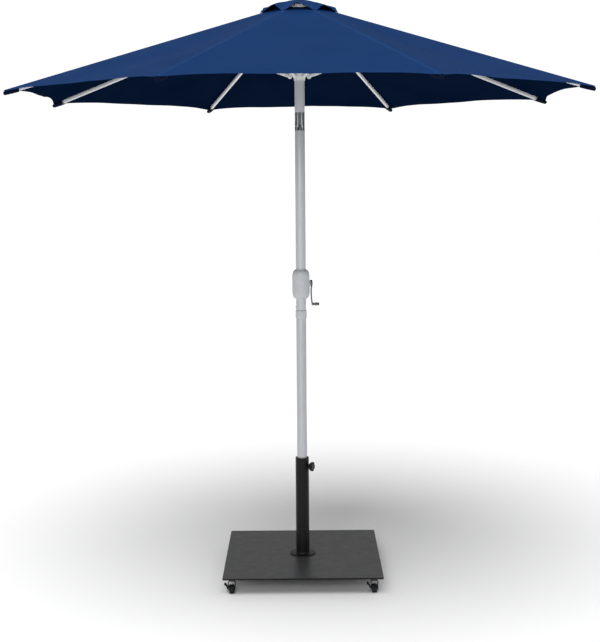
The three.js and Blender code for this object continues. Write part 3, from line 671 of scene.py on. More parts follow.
clevis_low = span("tilt_clevis")[0][2]
clevis = [(lathe([
    (0, clevis_low), (PLUG_RADIUS, clevis_low), (PLUG_RADIUS, clevis_low + 0.027), (0, clevis_low + 0.027),
], 0.001, 48), zinc)]
cheeks = leaves(0.0125, clevis_low + 0.025, 0.0132, silver)
hook_path = np.array([
    (0.004, -0.009, 0.026), (0.005, -0.011, 0.040), (0.006, -0.0125, 0.052), (0.004, -0.0145, 0.060),
    (0.001, -0.0125, 0.062),
]) + (0, 0, clevis_low)
hook = swept_shell(hook_path, rounded_square(0.0014, 0.0014, 0.0012, 3), (1, 0, 0))
make_piece("tilt_fork", "mast", [*clevis, *cheeks, (hook, zinc)], ["tilt_clevis"], bevel=0.0005)

knuckle_high = span("tilt_knuckle")[1][2]
knuckle = [(lathe([
    (0, knuckle_high - 0.026), (PLUG_RADIUS, knuckle_high - 0.026), (PLUG_RADIUS, knuckle_high),
    (0, knuckle_high),
], 0.001, 48), zinc)]
knuckle += leaves(0.0105, knuckle_high - 0.024, 0.0092, zinc)
make_piece("tilt_knuckle_leaves", "head", knuckle, ["tilt_knuckle"], bevel=0.0005)

dark_pin = zinc_plated("dark pin steel", (0.12, 0.12, 0.125), 0.36)
pin = lathe([
    (0, -0.0194), (0.004, -0.0194), (0.005, -0.0182), (0.005, -0.0153), (0.0035, -0.0153),
    (0.0035, 0.0153), (0.005, 0.0153), (0.005, 0.0182), (0.004, 0.0194), (0, 0.0194),
], 0.0004, 28)
make_piece("tilt_cross_pin", "mast", [(moved(pin, tilt_at, Z_TO_X), dark_pin)], ["tilt_pin"])

spring_low, spring_high = span("tilt_spring")
SPRING_TURNS = 15
SPRING_RADIUS = 0.0027
WIRE_RADIUS = 0.0006
spring_t = np.linspace(0, 1, SPRING_TURNS * 20)
spring_rise = spring_low[2] + WIRE_RADIUS + (spring_high[2] - spring_low[2] - 2 * WIRE_RADIUS) * spring_t
spring_path = round_grid(SPRING_RADIUS, 2 * math.pi * SPRING_TURNS * spring_t, spring_rise)
spring_path = spring_path + (spring_low + spring_high) / 2 * (1, 1, 0)
wire = rounded_square(WIRE_RADIUS, WIRE_RADIUS, 0.00055, 2)
coil = swept_shell(spring_path, wire, (0, 0, 1))
make_piece("tilt_coil_spring", "head", [(coil, zinc)], ["tilt_spring"])

# The crank: two silver-grey plastic shells screwed together round the pole, with a spool for the
# lift cord inside it. A chromed arm on the spool's shaft carries a chromed grip that spins.
crank_at = pivot("crank_turn")
housing_low, housing_high = span("crank_housing_front")
HOUSING_HALF = (housing_high[2] - housing_low[2]) / 2
HOUSING_RADIUS = 0.0395
SCREW_X, SCREW_Z = 0.027, 0.036
SCREW_SEAT = 0.0385


def housing_profile():
    """From the pole out over a rounded shoulder, down the barrel's side and back in, then up inside."""
    h, r = HOUSING_HALF, HOUSING_RADIUS
    shoulder = np.linspace(0, math.pi / 2, 14)
    rise = np.sin(shoulder) ** 0.9
    top = np.column_stack([0.0262 + (r - 0.0262) * rise, h - 0.003 - 0.030 * (1 - np.cos(shoulder))])
    rim = np.array([(SLEEVE_BORE, h), (0.0250, h)])
    outside = np.vstack([rim, top, top[::-1] * (1, -1), rim[::-1] * (1, -1)])
    inside = [(SLEEVE_BORE, -h + 0.008), (0.034, -h + 0.03), (0.034, h - 0.03), (SLEEVE_BORE, h - 0.008)]
    return np.vstack([outside, inside])


seam = math.radians(0.25)
for half, arc, node in (("front", (math.pi + seam, 2 * math.pi - seam), "crank_housing_front"),
                        ("rear", (seam, math.pi - seam), "crank_housing_rear")):
    shell_half = moved(turned_shell(housing_profile(), 64, arc, closed=True), crank_at)
    parts = [(shell_half, grey_plastic)]
    if half == "rear":
        for x in (-SCREW_X, SCREW_X):
            for z in (-SCREW_Z, SCREW_Z):
                y = math.sqrt(SCREW_SEAT**2 - x**2)
                screw = lathe([
                    (0, -0.002), (0.0034, -0.002), (0.0034, 0.0008), (0.0026, 0.0016), (0.0014, 0.0016),
                    (0.0012, 0.0003), (0, 0.0003),
                ], 0.0003, 20)
                parts.append((moved(screw, crank_at + (x, y, z), Z_TO_Y), zinc))
    make_piece(f"crank_shell_{half}", "mast", parts, [node])
boss = lathe([
    (0.0046, 0.034), (0.0125, 0.034), (0.0118, 0.0400), (0.0105, 0.0432), (0.0046, 0.0432),
    (0.0046, 0.034),
], 0.0015, 40)
make_piece("crank_boss", "mast", [(moved(boss, crank_at, Z_TO_X), grey_plastic)])

white_plastic = moulded("white plastic", (0.66, 0.67, 0.68), 0.42, relief=0.08, vary=0.04)
spool = lathe([
    (0, -0.026), (0.004, -0.026), (0.004, -0.012), (0.016, -0.012), (0.016, -0.010), (0.013, -0.010),
    (0.013, 0.010), (0.016, 0.010), (0.016, 0.012), (0.004, 0.012), (0.004, 0.046), (0, 0.046),
], 0.0005, 48)
spool = moved(spool, crank_at, Z_TO_X)
make_piece("spool", "crank", [(spool, white_plastic)], ["cord_spool"])

# Painted reflection: this chrome's colour is set far darker than real chrome, standing in for dark
# surroundings reflected in the arm and grip.
chrome, chrome_tree, chrome_shader = new_finish("chrome", (0.13, 0.133, 0.14), 0.1, 1.0)
smears = noise(chrome_tree, 60, detail=7, roughness=0.7)
drive(chrome_tree, chrome_shader, "Roughness", smears, [(0.35, 0.06), (0.75, 0.22)])
bump(chrome_tree, chrome_shader, smears, 0.05, 0.0005)
grip_at = pivot("crank_grip_spin") * (0, 0, 1)
ARM_POINTS = np.array([
    (0.0465, 0, 0.0135), (0.0492, 0, 0.008), (0.0497, 0, 0), (0.0480, 0, -0.014), (0.0466, 0, -0.030),
    (0.0474, 0, -0.056), (0.0492, 0, -0.078), (0.0515, 0, -0.0935),
])


def smooth_path(points, steps):
    """A Catmull-Rom curve through the points: each stretch blends its four nearest points."""
    padded = np.vstack([2 * points[0] - points[1], points, 2 * points[-1] - points[-2]])
    t = np.linspace(0, 1, steps, endpoint=False)[:, None]
    out = []
    for a, b, c, d in zip(padded, padded[1:], padded[2:], padded[3:]):
        square, cube = 2 * a - 5 * b + 4 * c - d, 3 * b - a - 3 * c + d
        out.append(0.5 * (2 * b + (c - a) * t + square * t**2 + cube * t**3))
    return np.vstack([*out, points[-1:]])


arm_path = smooth_path(ARM_POINTS, 6)
taper = np.interp(np.linspace(0, 1, len(arm_path)), [0, 0.15, 0.5, 1], [0.75, 1.1, 0.85, 0.8])
arm_sections = np.array([rounded_square(0.0062 * k, 0.0040 * k, 0.0032 * k, 3) for k in taper])
arm = swept_shell(arm_path, arm_sections)
hub = lathe([
    (0, 0.0437), (0.0085, 0.0437), (0.0092, 0.0455), (0.0088, 0.0512), (0.0065, 0.0532), (0, 0.0536),
], 0.0014, 40)
cap = lathe([
    (0, -0.001), (0.0058, 0), (0.0064, 0.004), (0.0042, 0.0072), (0, 0.0078),
], 0.0015, 28)
eye = lathe([(0, 0.0485), (0.0068, 0.0485), (0.0072, 0.052), (0.0062, 0.0545), (0, 0.0545)], 0.001, 32)
grip_pin = lathe([(0, 0.053), (0.003, 0.053), (0.003, 0.0798), (0, 0.0798)], 0.0003, 20)
arm_parts = [
    (moved(arm, crank_at), chrome),
    (moved(hub, crank_at, Z_TO_X), chrome),
    (moved(cap, crank_at + (0.0465, 0, 0.0115)), black_plastic),
    (moved(eye, grip_at, Z_TO_X), chrome),
    (moved(grip_pin, grip_at, Z_TO_X), zinc),
]
make_piece("crank_handle", "crank", arm_parts, ["crank_arm"])
grip = lathe([
    (0.0034, 0.0555), (0.0062, 0.0555), (0.0068, 0.0575), (0.0058, 0.0595), (0.0062, 0.0640),
    (0.0072, 0.0690), (0.0068, 0.0735), (0.0052, 0.0765), (0.0060, 0.0782), (0.0078, 0.0800),
    (0.0070, 0.0826), (0.003, 0.0832), (0, 0.0832),
], 0.0014, 40)
grip = moved(grip, grip_at, Z_TO_X)
make_piece("spinning_grip", "crank_grip", [(grip, chrome)], ["crank_grip"])

# The top of the pole: a white moulded hub with a slot for each rib, and a post that carries the
# vent cap under a small round finial. A pulley for the lift cord hangs on a pin inside the tube.
hub_low, hub_high = span("top_hub")
rib_pivot = pivot("rib_fold_1")
PIVOT_RADIUS = float(np.hypot(rib_pivot[0], rib_pivot[1]))
HUB_PIVOT = float(rib_pivot[2])
HUB_BOTTOM = HUB_PIVOT - 0.012
HUB_TOP = HUB_PIVOT + 0.012
CAP_TOP = hub_high[2] - 0.004
RIB_COUNT = 8
RIBS = range(1, RIB_COUNT + 1)
HALF_PANEL = math.pi / RIB_COUNT


def rib_azimuth(i):
    """Rib 1 is at the front right, and the others follow anticlockwise from above."""
    return -math.pi / 2 + (i - 0.5) * 2 * HALF_PANEL


def slotted_disc(radius, slot_floor, slot_width, bottom, top, hole):
    """A ring whose rim dips in to the slot's floor at each rib: the outline's points, and points at
    the same bearings on the hole's edge, at two heights."""
    outline = []
    half = slot_width / 2
    for i in RIBS:
        a = rib_azimuth(i)
        start = math.asin(half / radius)
        rim = np.linspace(a + start, a + 2 * HALF_PANEL - start, 9)
        along, across = np.array([math.cos(a), math.sin(a)]), np.array([-math.sin(a), math.cos(a)])
        outline += [slot_floor * along - half * across, slot_floor * along + half * across]
        outline += [(radius * math.cos(b), radius * math.sin(b)) for b in rim]
    outline = np.array(outline)
    inner = hole * outline / np.linalg.norm(outline, axis=1, keepdims=True)
    corners = ((outline, bottom), (outline, top), (inner, top), (inner, bottom))
    rings = [np.column_stack([ring, np.full(len(ring), level)]) for ring, level in corners]
    return grid_shell(np.array(rings), wrap_rows=True, wrap_columns=True)


SLOT_FLOOR = 0.0372
ROD_RADIUS = 0.0022
disc = slotted_disc(0.055, SLOT_FLOOR, 0.0078, HUB_BOTTOM, HUB_TOP, 0.028)
neck = lathe([
    (0, hub_low[2]), (PLUG_RADIUS, hub_low[2]), (PLUG_RADIUS, HUB_BOTTOM - 0.0005),
    (0.03, HUB_BOTTOM - 0.0005),
    (0.03, HUB_TOP + 0.0008), (0.022, HUB_TOP + 0.0008), (0.016, HUB_TOP + 0.008),
    (0.010, HUB_TOP + 0.010), (0.010, hub_high[2]), (0, hub_high[2]),
], 0.0015, 56)
hub_parts = [(disc, white_plastic), (neck, white_plastic)]
for i in RIBS:
    rod = lathe([(0, -0.009), (ROD_RADIUS, -0.009), (ROD_RADIUS, 0.009), (0, 0.009)], 0.0004, 16)
    turn = turn_about("z", rib_azimuth(i))
    hub_parts.append((moved(rod, turn @ (PIVOT_RADIUS, 0, HUB_PIVOT), turn @ Z_TO_Y), zinc))
make_piece("rib_hub", "head", hub_parts, ["top_hub"], bevel=0.0012)

finial_low, finial_high = span("finial")
finial = lathe([
    (0, finial_low[2]), (0.0185, finial_low[2]), (0.0200, finial_low[2] + 0.0015),
    (0.0185, finial_low[2] + 0.0045), (0.0140, finial_low[2] + 0.0075), (0.0070, finial_high[2] - 0.0006),
    (0, finial_high[2]),
], 0.002, 48)
make_piece("top_finial", "head", [(finial, grey_plastic)], ["finial"])

pulley_at = pivot("pulley_turn")
pulley = lathe([
    (0, -0.0194), (0.0025, -0.0194), (0.0025, -0.004), (0.015, -0.004), (0.0125, 0), (0.015, 0.004),
    (0.0025, 0.004), (0.0025, 0.0194), (0, 0.0194),
], 0.0006, 40)
pulley = moved(pulley, pulley_at, Z_TO_X)
make_piece("lift_pulley", "cord_pulley", [(pulley, white_plastic)], ["cord_pulley"])

# The runner: a white moulded collar that slides on the pole, with a thin slotted plate around it.
# The inner end of each strut is held in its slot by a short steel rod.
RUNNER_Z = float(span("runner")[0][2]) + 0.018
z = RUNNER_Z
runner_body = lathe([
    (SLEEVE_BORE, z - 0.018), (0.0250, z - 0.018), (0.0254, z - 0.016), (0.0254, z - 0.005),
    (0.0286, z - 0.003), (0.0286, z + 0.022), (0.0270, z + 0.024), (SLEEVE_BORE, z + 0.024),
    (SLEEVE_BORE, z - 0.018),
], 0.0012, 72)
runner_parts = [
    (runner_body, white_plastic),
    (slotted_disc(0.054, SLOT_FLOOR, 0.0092, z + 0.009, z + 0.014, 0.0275), white_plastic),
]
for i in RIBS:
    rod = lathe([(0, -0.0095), (ROD_RADIUS, -0.0095), (ROD_RADIUS, 0.0095), (0, 0.0095)], 0.0004, 16)
    lug = plate_shell(rounded_square(0.0045, 0.0075, 0.002, 4), 0.0024)
    turn = turn_about("z", rib_azimuth(i))
    runner_parts.append((moved(rod, turn @ (PIVOT_RADIUS, 0, z), turn @ Z_TO_Y), zinc))
    for side in (-1, 1):
        beside = turn @ (PIVOT_RADIUS, side * 0.0072, z + 0.003)
        runner_parts.append((moved(lug, beside, turn @ XZ_PLATE), white_plastic))
make_piece("runner_collar", "runner", runner_parts, ["runner"], bevel=0.0007)

# The frame: eight ribs of white-lacquered steel channel, and eight struts that push them up. A strut
# turns between two cheeks riveted under its rib, and a plastic tip carries the canopy's corner.
SLOPE = math.radians(17.5)
CORNER_RADIUS = 1.310
RIB_LENGTH = (CORNER_RADIUS - 0.004 - PIVOT_RADIUS) / math.cos(SLOPE)
RIB_POCKET = 0.026
STRUT_OFFSET = 0.016
RIB_HALF_WIDTH, RIB_HALF_HEIGHT = 0.006, 0.009
half_drop = (HUB_PIVOT - RUNNER_Z) / 2
# A strut's length and slope depend on each other, so each is worked out again from the other.
strut_length = half_drop / math.sin(SLOPE)
for _ in range(20):
    strut_length = half_drop / math.sin(SLOPE + math.asin(STRUT_OFFSET / strut_length))
strut_slope = SLOPE + math.asin(STRUT_OFFSET / strut_length)
bracket = math.sqrt(strut_length**2 - STRUT_OFFSET**2)
lacquer = satin_silver("rib lacquer", (0.72, 0.73, 0.75), 0.36, 0.15)


def bar(start, end, half_width, half_height, radius):
    """A rounded bar along X from start to end, across Y and up Z."""
    shell = plate_shell(rounded_square(half_width, half_height, radius, 3), end - start)
    return moved(shell, ((start + end) / 2, 0, 0), YZ_PLATE)


def link_outline(length, start_radius, end_radius, half):
    """Two round ends about x = 0 and x = length, joined by a straight bar."""
    first = math.asin(min(1, half / start_radius))
    last = math.asin(min(1, half / end_radius))
    a = np.linspace(first, 2 * math.pi - first, 22)
    b = np.linspace(-math.pi + last, math.pi - last, 18)
    start = np.column_stack([start_radius * np.cos(a), start_radius * np.sin(a)])
    end = np.column_stack([length + end_radius * np.cos(b), end_radius * np.sin(b)])
    return np.vstack([start, end])


def rib_frame(i):
    """The place and turn that carry a shape drawn along X onto rib i's pivot at the hub."""
    turn = turn_about("z", rib_azimuth(i))
    return turn @ (PIVOT_RADIUS, 0, HUB_PIVOT), turn @ turn_about("y", SLOPE)


CHEEK_OUTLINE = [
    (-0.015, -0.003), (-0.007, -0.019), (-0.004, -0.023), (0.004, -0.023), (0.007, -0.019), (0.015, -0.003),
]
RIVETS = ((0, -STRUT_OFFSET), (-0.009, -0.006), (0.009, -0.006))


for i in RIBS:
    place, turn = rib_frame(i)
    tongue = moved(plate_shell(link_outline(0.034, 0.008, 0.008, 0.0075), 0.007), turn=XZ_PLATE)
    beam = bar(0.030, RIB_LENGTH - RIB_POCKET, RIB_HALF_WIDTH, RIB_HALF_HEIGHT, 0.0044)
    cap_end = bar(0.0285, 0.036, 0.0068, 0.0098, 0.003)
    tip = bar(RIB_LENGTH - RIB_POCKET - 0.008, RIB_LENGTH, 0.0042, 0.0052, 0.0018)
    cheek = rounded([*CHEEK_OUTLINE, CHEEK_OUTLINE[0]], 0.003)[:-1] + (bracket, 0)
    rib_parts = [(tongue, white_plastic), (cap_end, white_plastic), (beam, lacquer), (tip, white_plastic)]
    for side in (-1, 1):
        rib_parts.append((moved(plate_shell(cheek, 0.002), (0, side * 0.0064, 0), XZ_PLATE), lacquer))
    for x, depth in RIVETS:
        head = lathe([
            (0, -0.0088), (0.0022, -0.0084), (0.0032, -0.0074), (0.0022, -0.0072), (0.0022, 0.0072),
            (0.0032, 0.0074), (0.0022, 0.0084), (0, 0.0088),
        ], 0.0003, 18)
        rib_parts.append((moved(head, (bracket + x, 0, depth), Z_TO_Y), zinc))
    rib_parts = [(moved(shell, place, turn), material) for shell, material in rib_parts]
    make_piece(f"rib_bar_{i}", f"rib_{i}", rib_parts, [f"rib_{i}"])

    outward = turn_about("z", rib_azimuth(i))
    strut_place, strut_turn = outward @ (PIVOT_RADIUS, 0, RUNNER_Z), outward @ turn_about("y", -strut_slope)
    rod = bar(0.016, strut_length - 0.008, 0.0038, 0.0055, 0.0018)
    eye = moved(plate_shell(link_outline(0.022, 0.009, 0.006, 0.0052), 0.0078), turn=XZ_PLATE)
    end = plate_shell(link_outline(-0.014, 0.006, 0.0052, 0.0048), 0.0076)
    end = moved(end, (strut_length, 0, 0), XZ_PLATE)
    strut_parts = [(rod, lacquer), (eye, white_plastic), (end, white_plastic)]
    strut_parts = [(moved(shell, strut_place, strut_turn), material) for shell, material in strut_parts]
    make_piece(f"strut_bar_{i}", f"strut_{i}", strut_parts, [f"strut_{i}"], bevel=0.0008)

# The canopy: navy polyester in eight gores sewn together over the ribs, with a turned and stitched
# hem. Each piece here is half a gore, from a rib to the gore's middle line. It is pulled tight to the
# rib's tip, where a pocket holds it.
VENT_RADIUS = 0.110
HEM_ARCH = 0.050
FABRIC_ABOVE_AXIS = 0.0102
CLOTH_THICKNESS = 0.0012
WEAVE_PITCH = 0.0011
STITCH_PITCH = 0.004
STITCH_WIDTH = 0.0009
FADE = 0.06
SEAM_TAPE = 0.0122
HEM_FOLD = 0.0215
FOLD_STEP = 0.0009
HEM_DROOP = 0.005
HOLLOW_DEPTH = 0.015
FAN_DEPTH = 0.0016
PANEL_SLOPE = math.tan(SLOPE) / math.cos(HALF_PANEL)
cloth_apex = HUB_PIVOT + PIVOT_RADIUS * math.tan(SLOPE) + FABRIC_ABOVE_AXIS / math.cos(SLOPE)
hem_middle = CORNER_RADIUS * math.cos(HALF_PANEL)
vent_middle = VENT_RADIUS * math.cos(HALF_PANEL)


def math_node(tree, operation, first, second=None):
    """One step of arithmetic on numbers or sockets."""
    node = tree.nodes.new("ShaderNodeMath")
    node.operation = operation
    for socket, value in zip(node.inputs, (first, second)):
        if value is None:
            continue
        if isinstance(value, (int, float)):
            socket.default_value = value
        else:
            tree.links.new(value, socket)
    return node.outputs[0]


def uv_axes(tree, layer):
    """The two coordinates of a UV layer, in metres."""
    source = tree.nodes.new("ShaderNodeUVMap")
    source.uv_map = layer
    split = tree.nodes.new("ShaderNodeSeparateXYZ")
    tree.links.new(source.outputs[0], split.inputs[0])
    return split.outputs["X"], split.outputs["Y"]


def stitch_row(tree, across, along, place):
    """One row of thread: 1 within half a width of its line and for two thirds of each pitch, else 0."""
    away = math_node(tree, "ABSOLUTE", math_node(tree, "SUBTRACT", across, place))
    near = math_node(tree, "LESS_THAN", away, STITCH_WIDTH / 2)
    phase = math_node(tree, "FRACT", math_node(tree, "DIVIDE", along, STITCH_PITCH))
    return math_node(tree, "MULTIPLY", near, math_node(tree, "LESS_THAN", phase, 0.66))


def overlaid(tree, below, share, colour):
    """A colour laid over the one below it by a share from 0 to 1."""
    mix = tree.nodes.new("ShaderNodeMix")
    mix.data_type = "RGBA"
    tree.links.new(share, mix.inputs["Factor"])
    tree.links.new(below, mix.inputs[6])
    mix.inputs[7].default_value = (*colour, 1)
    return mix.outputs[2]


def woven(name, colour, thread, rows, gloss=0.035):
    """Woven polyester: a plain weave of crossed sine ridges in the cloth's own UV, slow fading and
    dust, a soft nap, and rows of stitching. Layer cloth runs across and down the gore, and layer
    edges holds the distance from the seam and from the hem."""
    material, tree, shader = new_finish(name, colour, 0.72)
    shader.inputs["Specular IOR Level"].default_value = gloss
    u, v = uv_axes(tree, "cloth")
    turn = 2 * math.pi / WEAVE_PITCH
    warp = math_node(tree, "SINE", math_node(tree, "MULTIPLY", u, turn))
    weft = math_node(tree, "SINE", math_node(tree, "MULTIPLY", v, turn))
    bump(tree, shader, math_node(tree, "MULTIPLY", warp, weft), 0.3, 0.0002)
    bump(tree, shader, noise(tree, 90, detail=6), 0.12, 0.001)
    slow = noise(tree, 2.6, detail=6, roughness=0.6)
    faded = [(0.3, tinted(colour, 1 - FADE)), (0.7, tinted(colour, 1 + FADE, 0.002))]
    cloth_colour = ramp(tree, slow, faded)
    seam, hem = uv_axes(tree, "edges")
    # Painted highlight: a band as wide as the seam tape is lightened along each seam, standing in for light
    # caught on the ridge over the rib.
    seam_highlight = math_node(tree, "MULTIPLY", math_node(tree, "LESS_THAN", seam, SEAM_TAPE), 0.22)
    cloth_colour = overlaid(tree, cloth_colour, seam_highlight, tinted(colour, 1.7))
    stitches = None
    for axis, place in rows:
        across, along = (seam, v) if axis == "seam" else (hem, u)
        row = stitch_row(tree, across, along, place)
        stitches = row if stitches is None else math_node(tree, "MAXIMUM", stitches, row)
    tree.links.new(overlaid(tree, cloth_colour, stitches, thread), shader.inputs["Base Color"])
    bump(tree, shader, stitches, 0.5, 0.0005)
    return material


NAVY = (0.0045, 0.0315, 0.120)
THREAD = (0.035, 0.075, 0.19)
ROWS = [("seam", 0.006), ("seam", 0.0105), ("hem", 0.004), ("hem", 0.018)]
canvas_top = woven("canvas", NAVY, THREAD, ROWS)
# Painted shade: the underside cloth and its thread are made far darker than the top, standing in for the
# shade under the canopy.
canvas_shaded_under = woven("canvas underside", tinted(NAVY, 0.19), tinted(THREAD, 0.3), ROWS, gloss=0.0)
POCKET_NAVY = (0.0022, 0.0055, 0.020)
pocket_cloth = woven("pocket canvas", POCKET_NAVY, (0.01, 0.015, 0.035), [("hem", 0.004)], gloss=0.02)


def gore_waves(gore, d, t, reach):
    """Slack in a gore at distance d from the axis and t from its middle line: a shallow hollow, fans of
    folds that run in from the two corners, and slow unevenness. All fade out at the seams."""
    rng = np.random.default_rng(40 + gore)
    across = np.clip(np.abs(t) / np.maximum(reach, 1e-6), 0, 1)
    u = np.clip((d - vent_middle) / (hem_middle - vent_middle), 0, 1)
    window = np.cos(across * math.pi / 2) ** 2
    hollow = -HOLLOW_DEPTH * window * np.sin(math.pi * np.clip(u, 0, 1) ** 1.2)
    slow = np.zeros_like(d)
    for _ in range(4):
        kx, ky = rng.uniform(2.5, 7, 2)
        slow += rng.uniform(0.0005, 0.0014) * np.sin(kx * t * 2 + ky * d * 2 + rng.uniform(0, 6.28))
    fans = np.zeros_like(d)
    for side in (-1, 1):
        corner_t = side * hem_middle * math.tan(HALF_PANEL)
        away = np.hypot(d - hem_middle, t - corner_t)
        bearing = np.arctan2(hem_middle - d, (corner_t - t) * side)
        count = rng.uniform(13, 19)
        near = np.exp(-away / rng.uniform(0.16, 0.26)) * np.clip(away / 0.05, 0, 1)
        spokes = np.sin(count * bearing + rng.uniform(0, 6.28))
        spokes = spokes * np.sin(2 * np.clip(bearing, 0, math.pi / 2))
        fans += FAN_DEPTH * near * (1 - 0.85 * u**6) * spokes
    ripple = 0.0007 * np.sin(2 * math.pi * t / rng.uniform(0.16, 0.24) + rng.uniform(0, 6)) * u**6
    return hollow + (slow + ripple) * window + fans * np.sin(across * math.pi).clip(0, 1) ** 0.5 * 0.9


RIM_ANGLE = math.radians(50)
ROW_STEPS, COLUMN_STEPS = 64, 26
SEAM_COLUMNS = np.array([0, 0.0025, 0.005, 0.0085, 0.0110, 0.0125])
HEM_ROWS = np.array([0.023, 0.0205, 0.018, 0.010, 0.002, 0])


def half_gore(gore, side):
    """The grid of one half gore, rows from vent to hem and columns from rib to middle line, with its two
    UV layers. In the gore's plane, d runs out along its middle line and t across it. The height falls
    evenly with d, and the hem arches in as the square of the distance from its middle."""
    inner = np.linspace(vent_middle, hem_middle - 0.03, ROW_STEPS)
    rows = np.concatenate([inner, hem_middle - HEM_ROWS])
    reach = rows * math.tan(HALF_PANEL)
    share = np.linspace(0, 1, COLUMN_STEPS)[1:]
    share = 1 - (1 - share) ** 1.25
    rest = SEAM_COLUMNS[-1] + (reach[:, None] - SEAM_COLUMNS[-1]) * share[None]
    from_seam = np.hstack([np.repeat(SEAM_COLUMNS[None], len(rows), axis=0), rest])
    t = reach[:, None] - from_seam
    u = (rows - vent_middle) / (hem_middle - vent_middle)
    arch = HEM_ARCH * u[:, None] ** 3 * (1 - (t / reach[:, None]) ** 2)
    d = rows[:, None] - arch
    from_hem = np.repeat((hem_middle - rows)[:, None], t.shape[1], axis=1)
    hem_fold = FOLD_STEP * np.clip((HEM_FOLD - from_hem) / 0.003, 0, 1)
    seam_fold = FOLD_STEP * np.clip((SEAM_TAPE - from_seam) / 0.002, 0, 1)
    height = cloth_apex - PANEL_SLOPE * d + gore_waves(gore, d, side * t, reach[:, None])
    height += np.maximum(hem_fold, seam_fold)
    height -= 0.0035 * from_seam / 0.022 * np.exp(1 - from_seam / 0.022) * u[:, None] ** 12
    height -= HEM_DROOP * np.cos(t / reach[:, None] * math.pi / 2) ** 2 * u[:, None] ** 8
    height += 0.06 * from_seam * np.exp(-((from_seam / 0.03) ** 2))
    x = d * math.cos(HALF_PANEL) + t * math.sin(HALF_PANEL)
    y = d * math.sin(HALF_PANEL) - t * math.cos(HALF_PANEL)
    cloth_uv = np.stack([side * t, d / math.cos(SLOPE)], axis=-1)
    edge_uv = np.stack([from_seam, from_hem], axis=-1)
    return np.stack([x, y, height], axis=-1), cloth_uv, edge_uv


def cloth_piece(name, body, grid, layers, materials, node=None):
    """A sheet from a grid with UV layers, thickened downward; the second material is its underside."""
    points, faces = grid_shell(grid)
    mesh = bpy.data.meshes.new(name)
    mesh.from_pydata(points.tolist(), [], faces)
    corner_points = np.array([loop.vertex_index for loop in mesh.loops])
    for layer, values in layers.items():
        uv = mesh.uv_layers.new(name=layer)
        uv.data.foreach_set("uv", values.reshape(-1, 2)[corner_points].ravel())
    work = bmesh.new()
    work.from_mesh(mesh)
    bmesh.ops.remove_doubles(work, verts=work.verts, dist=MERGE_DISTANCE)
    bmesh.ops.recalc_face_normals(work, faces=work.faces)
    if sum(face.normal.z for face in work.faces) < 0:
        bmesh.ops.reverse_faces(work, faces=work.faces)
    work.to_mesh(mesh)
    work.free()
    mesh.shade_smooth()
    for material in materials:
        mesh.materials.append(material)
    piece = bpy.data.objects.new(name, mesh)
    bpy.context.collection.objects.link(piece)
    thicken = piece.modifiers.new("thickness", "SOLIDIFY")
    thicken.thickness = CLOTH_THICKNESS
    thicken.offset = 0
    thicken.material_offset = len(materials) - 1
    crisp = piece.modifiers.new("crisp edge", "EDGE_SPLIT")
    crisp.split_angle = RIM_ANGLE
    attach(piece, body)
    if node:
        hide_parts(node)
    return piece


def pocket_grid():
    """A sleeve drawn along X over a rib's tip: each section is a rounded box, with sines and cosines
    raised to the power 0.7, and its half width and half depth shrink towards the tip."""
    along = RIB_LENGTH + np.array([-0.058, -0.056, -0.030, -0.012, 0.001, 0.004, 0.0048])[:, None]
    wide = np.array([0.0150, 0.0155, 0.0135, 0.0110, 0.0095, 0.007, 0.0012])[:, None]
    deep = np.array([0.0103, 0.0105, 0.0098, 0.0085, 0.0076, 0.0055, 0.001])[:, None]
    ring = np.linspace(0, 2 * math.pi, 25)[None]
    c, n = np.cos(ring), np.sin(ring)
    across = wide * np.sign(c) * np.abs(c) ** 0.7
    height = -0.0016 + deep * np.sign(n) * np.abs(n) ** 0.7
    grid = np.stack(np.broadcast_arrays(along, across, height), axis=-1)
    cloth_uv = np.stack(np.broadcast_arrays(ring * 0.01, along), axis=-1)
    edge_uv = np.stack(np.broadcast_arrays(np.full(ring.shape, 0.1), along - along[0]), axis=-1)
    return grid, {"cloth": cloth_uv, "edges": edge_uv}


panel_angle = math.atan(PANEL_SLOPE)
for i in RIBS:
    a = rib_azimuth(i)
    for side, gore, hand in ((1, i, "right"), (-1, (i - 2) % RIB_COUNT + 1, "left")):
        grid, cloth_uv, edge_uv = half_gore(gore, -side)
        grid = (grid * (1, side, 1)) @ turn_about("z", a).T
        middle = a + side * HALF_PANEL
        up = round_grid(math.sin(panel_angle), middle, math.cos(panel_angle))
        along = round_grid(math.cos(SLOPE), a, -math.sin(SLOPE))
        half = cloth_piece(
            f"canopy_{hand}_half_{i}", f"rib_{i}", grid, {"cloth": cloth_uv, "edges": edge_uv},
            [canvas_top, canvas_shaded_under], f"canopy_{i}",
        )
        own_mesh(half)
    place, turn = rib_frame(i)
    sleeve, sleeve_layers = pocket_grid()
    sleeve = sleeve @ turn.T + place
    pocket = cloth_piece(f"corner_pocket_{i}", f"rib_{i}", sleeve, sleeve_layers, [pocket_cloth])

# The vent cap: a small roof of the same cloth, tied down at each rib. Between the ties its hem
# lifts clear of the canopy, so wind can pass. A round patch under its top stays with the pole.
CAP_CORNER = 0.186
CAP_INNER = 0.050
CAP_HOLE = 0.0105
CAP_TIE_HEIGHT = cloth_apex - math.tan(SLOPE) * CAP_CORNER + 0.0022
CAP_LIFT = 0.023
CAP_PATCH_RADIUS = 0.082
PATCH_DROP = 0.0016


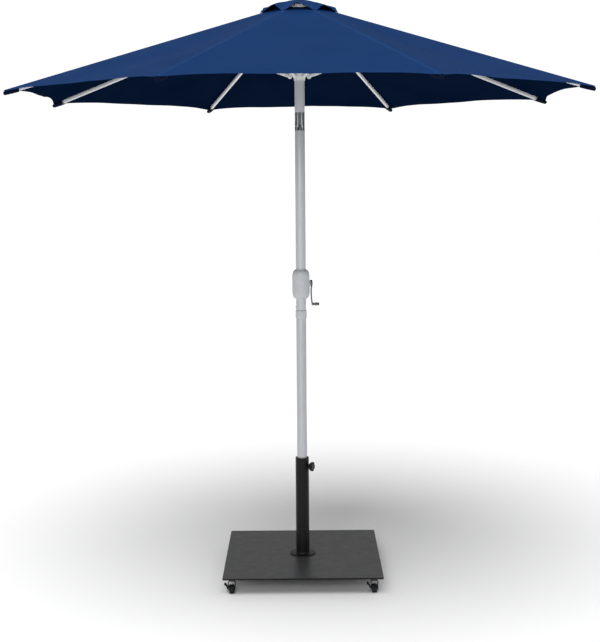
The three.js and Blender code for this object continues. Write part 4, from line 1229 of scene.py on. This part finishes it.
def cap_surface(radius, azimuth):
    """Height of the cap: it falls from the post to the ties along the ribs, lifts as the square of the
    radius between them, and is crossed by slow creases that depend only on place."""
    phase = (azimuth - rib_azimuth(1)) / (2 * HALF_PANEL)
    between = np.sin(math.pi * phase) ** 2
    out = np.clip((radius - CAP_HOLE) / (CAP_CORNER - CAP_HOLE), 0, 1.1)
    along_rib = CAP_TOP + (CAP_TIE_HEIGHT - CAP_TOP) * (0.72 * out + 0.28 * out**2)
    lift = CAP_LIFT * out**1.6 * between * (1 + 0.16 * np.sin(3 * azimuth + 1))
    crease = 0.0026 * out * np.sin(17 * azimuth + 30 * radius)
    crease += 0.0018 * out * np.sin(29 * azimuth - 45 * radius)
    return along_rib + lift + crease * between


cap_rows = np.linspace(0, 1, 20)[:, None]
for i in RIBS:
    a = rib_azimuth(i)
    offset = np.linspace(-HALF_PANEL, HALF_PANEL, 41)[None]
    hem = CAP_CORNER * math.cos(HALF_PANEL) / np.cos(HALF_PANEL - np.abs(offset))
    hem = hem - 0.012 * np.sin(math.pi * offset / (2 * HALF_PANEL)) ** 2
    radius = CAP_INNER + (hem - CAP_INNER) * cap_rows
    azimuth = np.broadcast_to(a + offset, radius.shape)
    grid = round_grid(radius, azimuth, cap_surface(radius, azimuth))
    layers = {
        "cloth": np.stack([radius * offset, radius], axis=-1),
        "edges": np.stack([np.abs(radius * offset), hem - radius], axis=-1),
    }
    share = cloth_piece(f"vent_cap_cloth_{i}", f"rib_{i}", grid, layers, [canvas_top, canvas_shaded_under])
    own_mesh(share)
    tie = bar(-0.009, 0.009, 0.006, 0.0011, 0.0008)
    tie_place = turn_about("z", a) @ (CAP_CORNER - 0.006, 0, CAP_TIE_HEIGHT - 0.0004)
    tie = moved(tie, tie_place, turn_about("z", a) @ turn_about("y", SLOPE))
    knot = make_piece(f"vent_tie_{i}", f"rib_{i}", [(tie, pocket_cloth)])

patch_rows = [np.linspace(CAP_HOLE, CAP_INNER - 0.001, 8), np.linspace(CAP_INNER, CAP_PATCH_RADIUS, 6)]
radius = np.concatenate(patch_rows)[:, None]
radius, azimuth = np.broadcast_arrays(radius, np.linspace(0, 2 * math.pi, 129)[None])
under = np.where(radius < CAP_INNER - 0.0005, 0, PATCH_DROP)
grid = round_grid(radius, azimuth, cap_surface(radius, azimuth) - under)
layers = {
    "cloth": grid[..., :2],
    "edges": np.stack([np.full(radius.shape, 0.1), CAP_INNER + 0.001 - radius], axis=-1),
}
patch = cloth_piece("vent_cap_patch", "head", grid, layers, [canvas_top, canvas_shaded_under], "vent_cap")
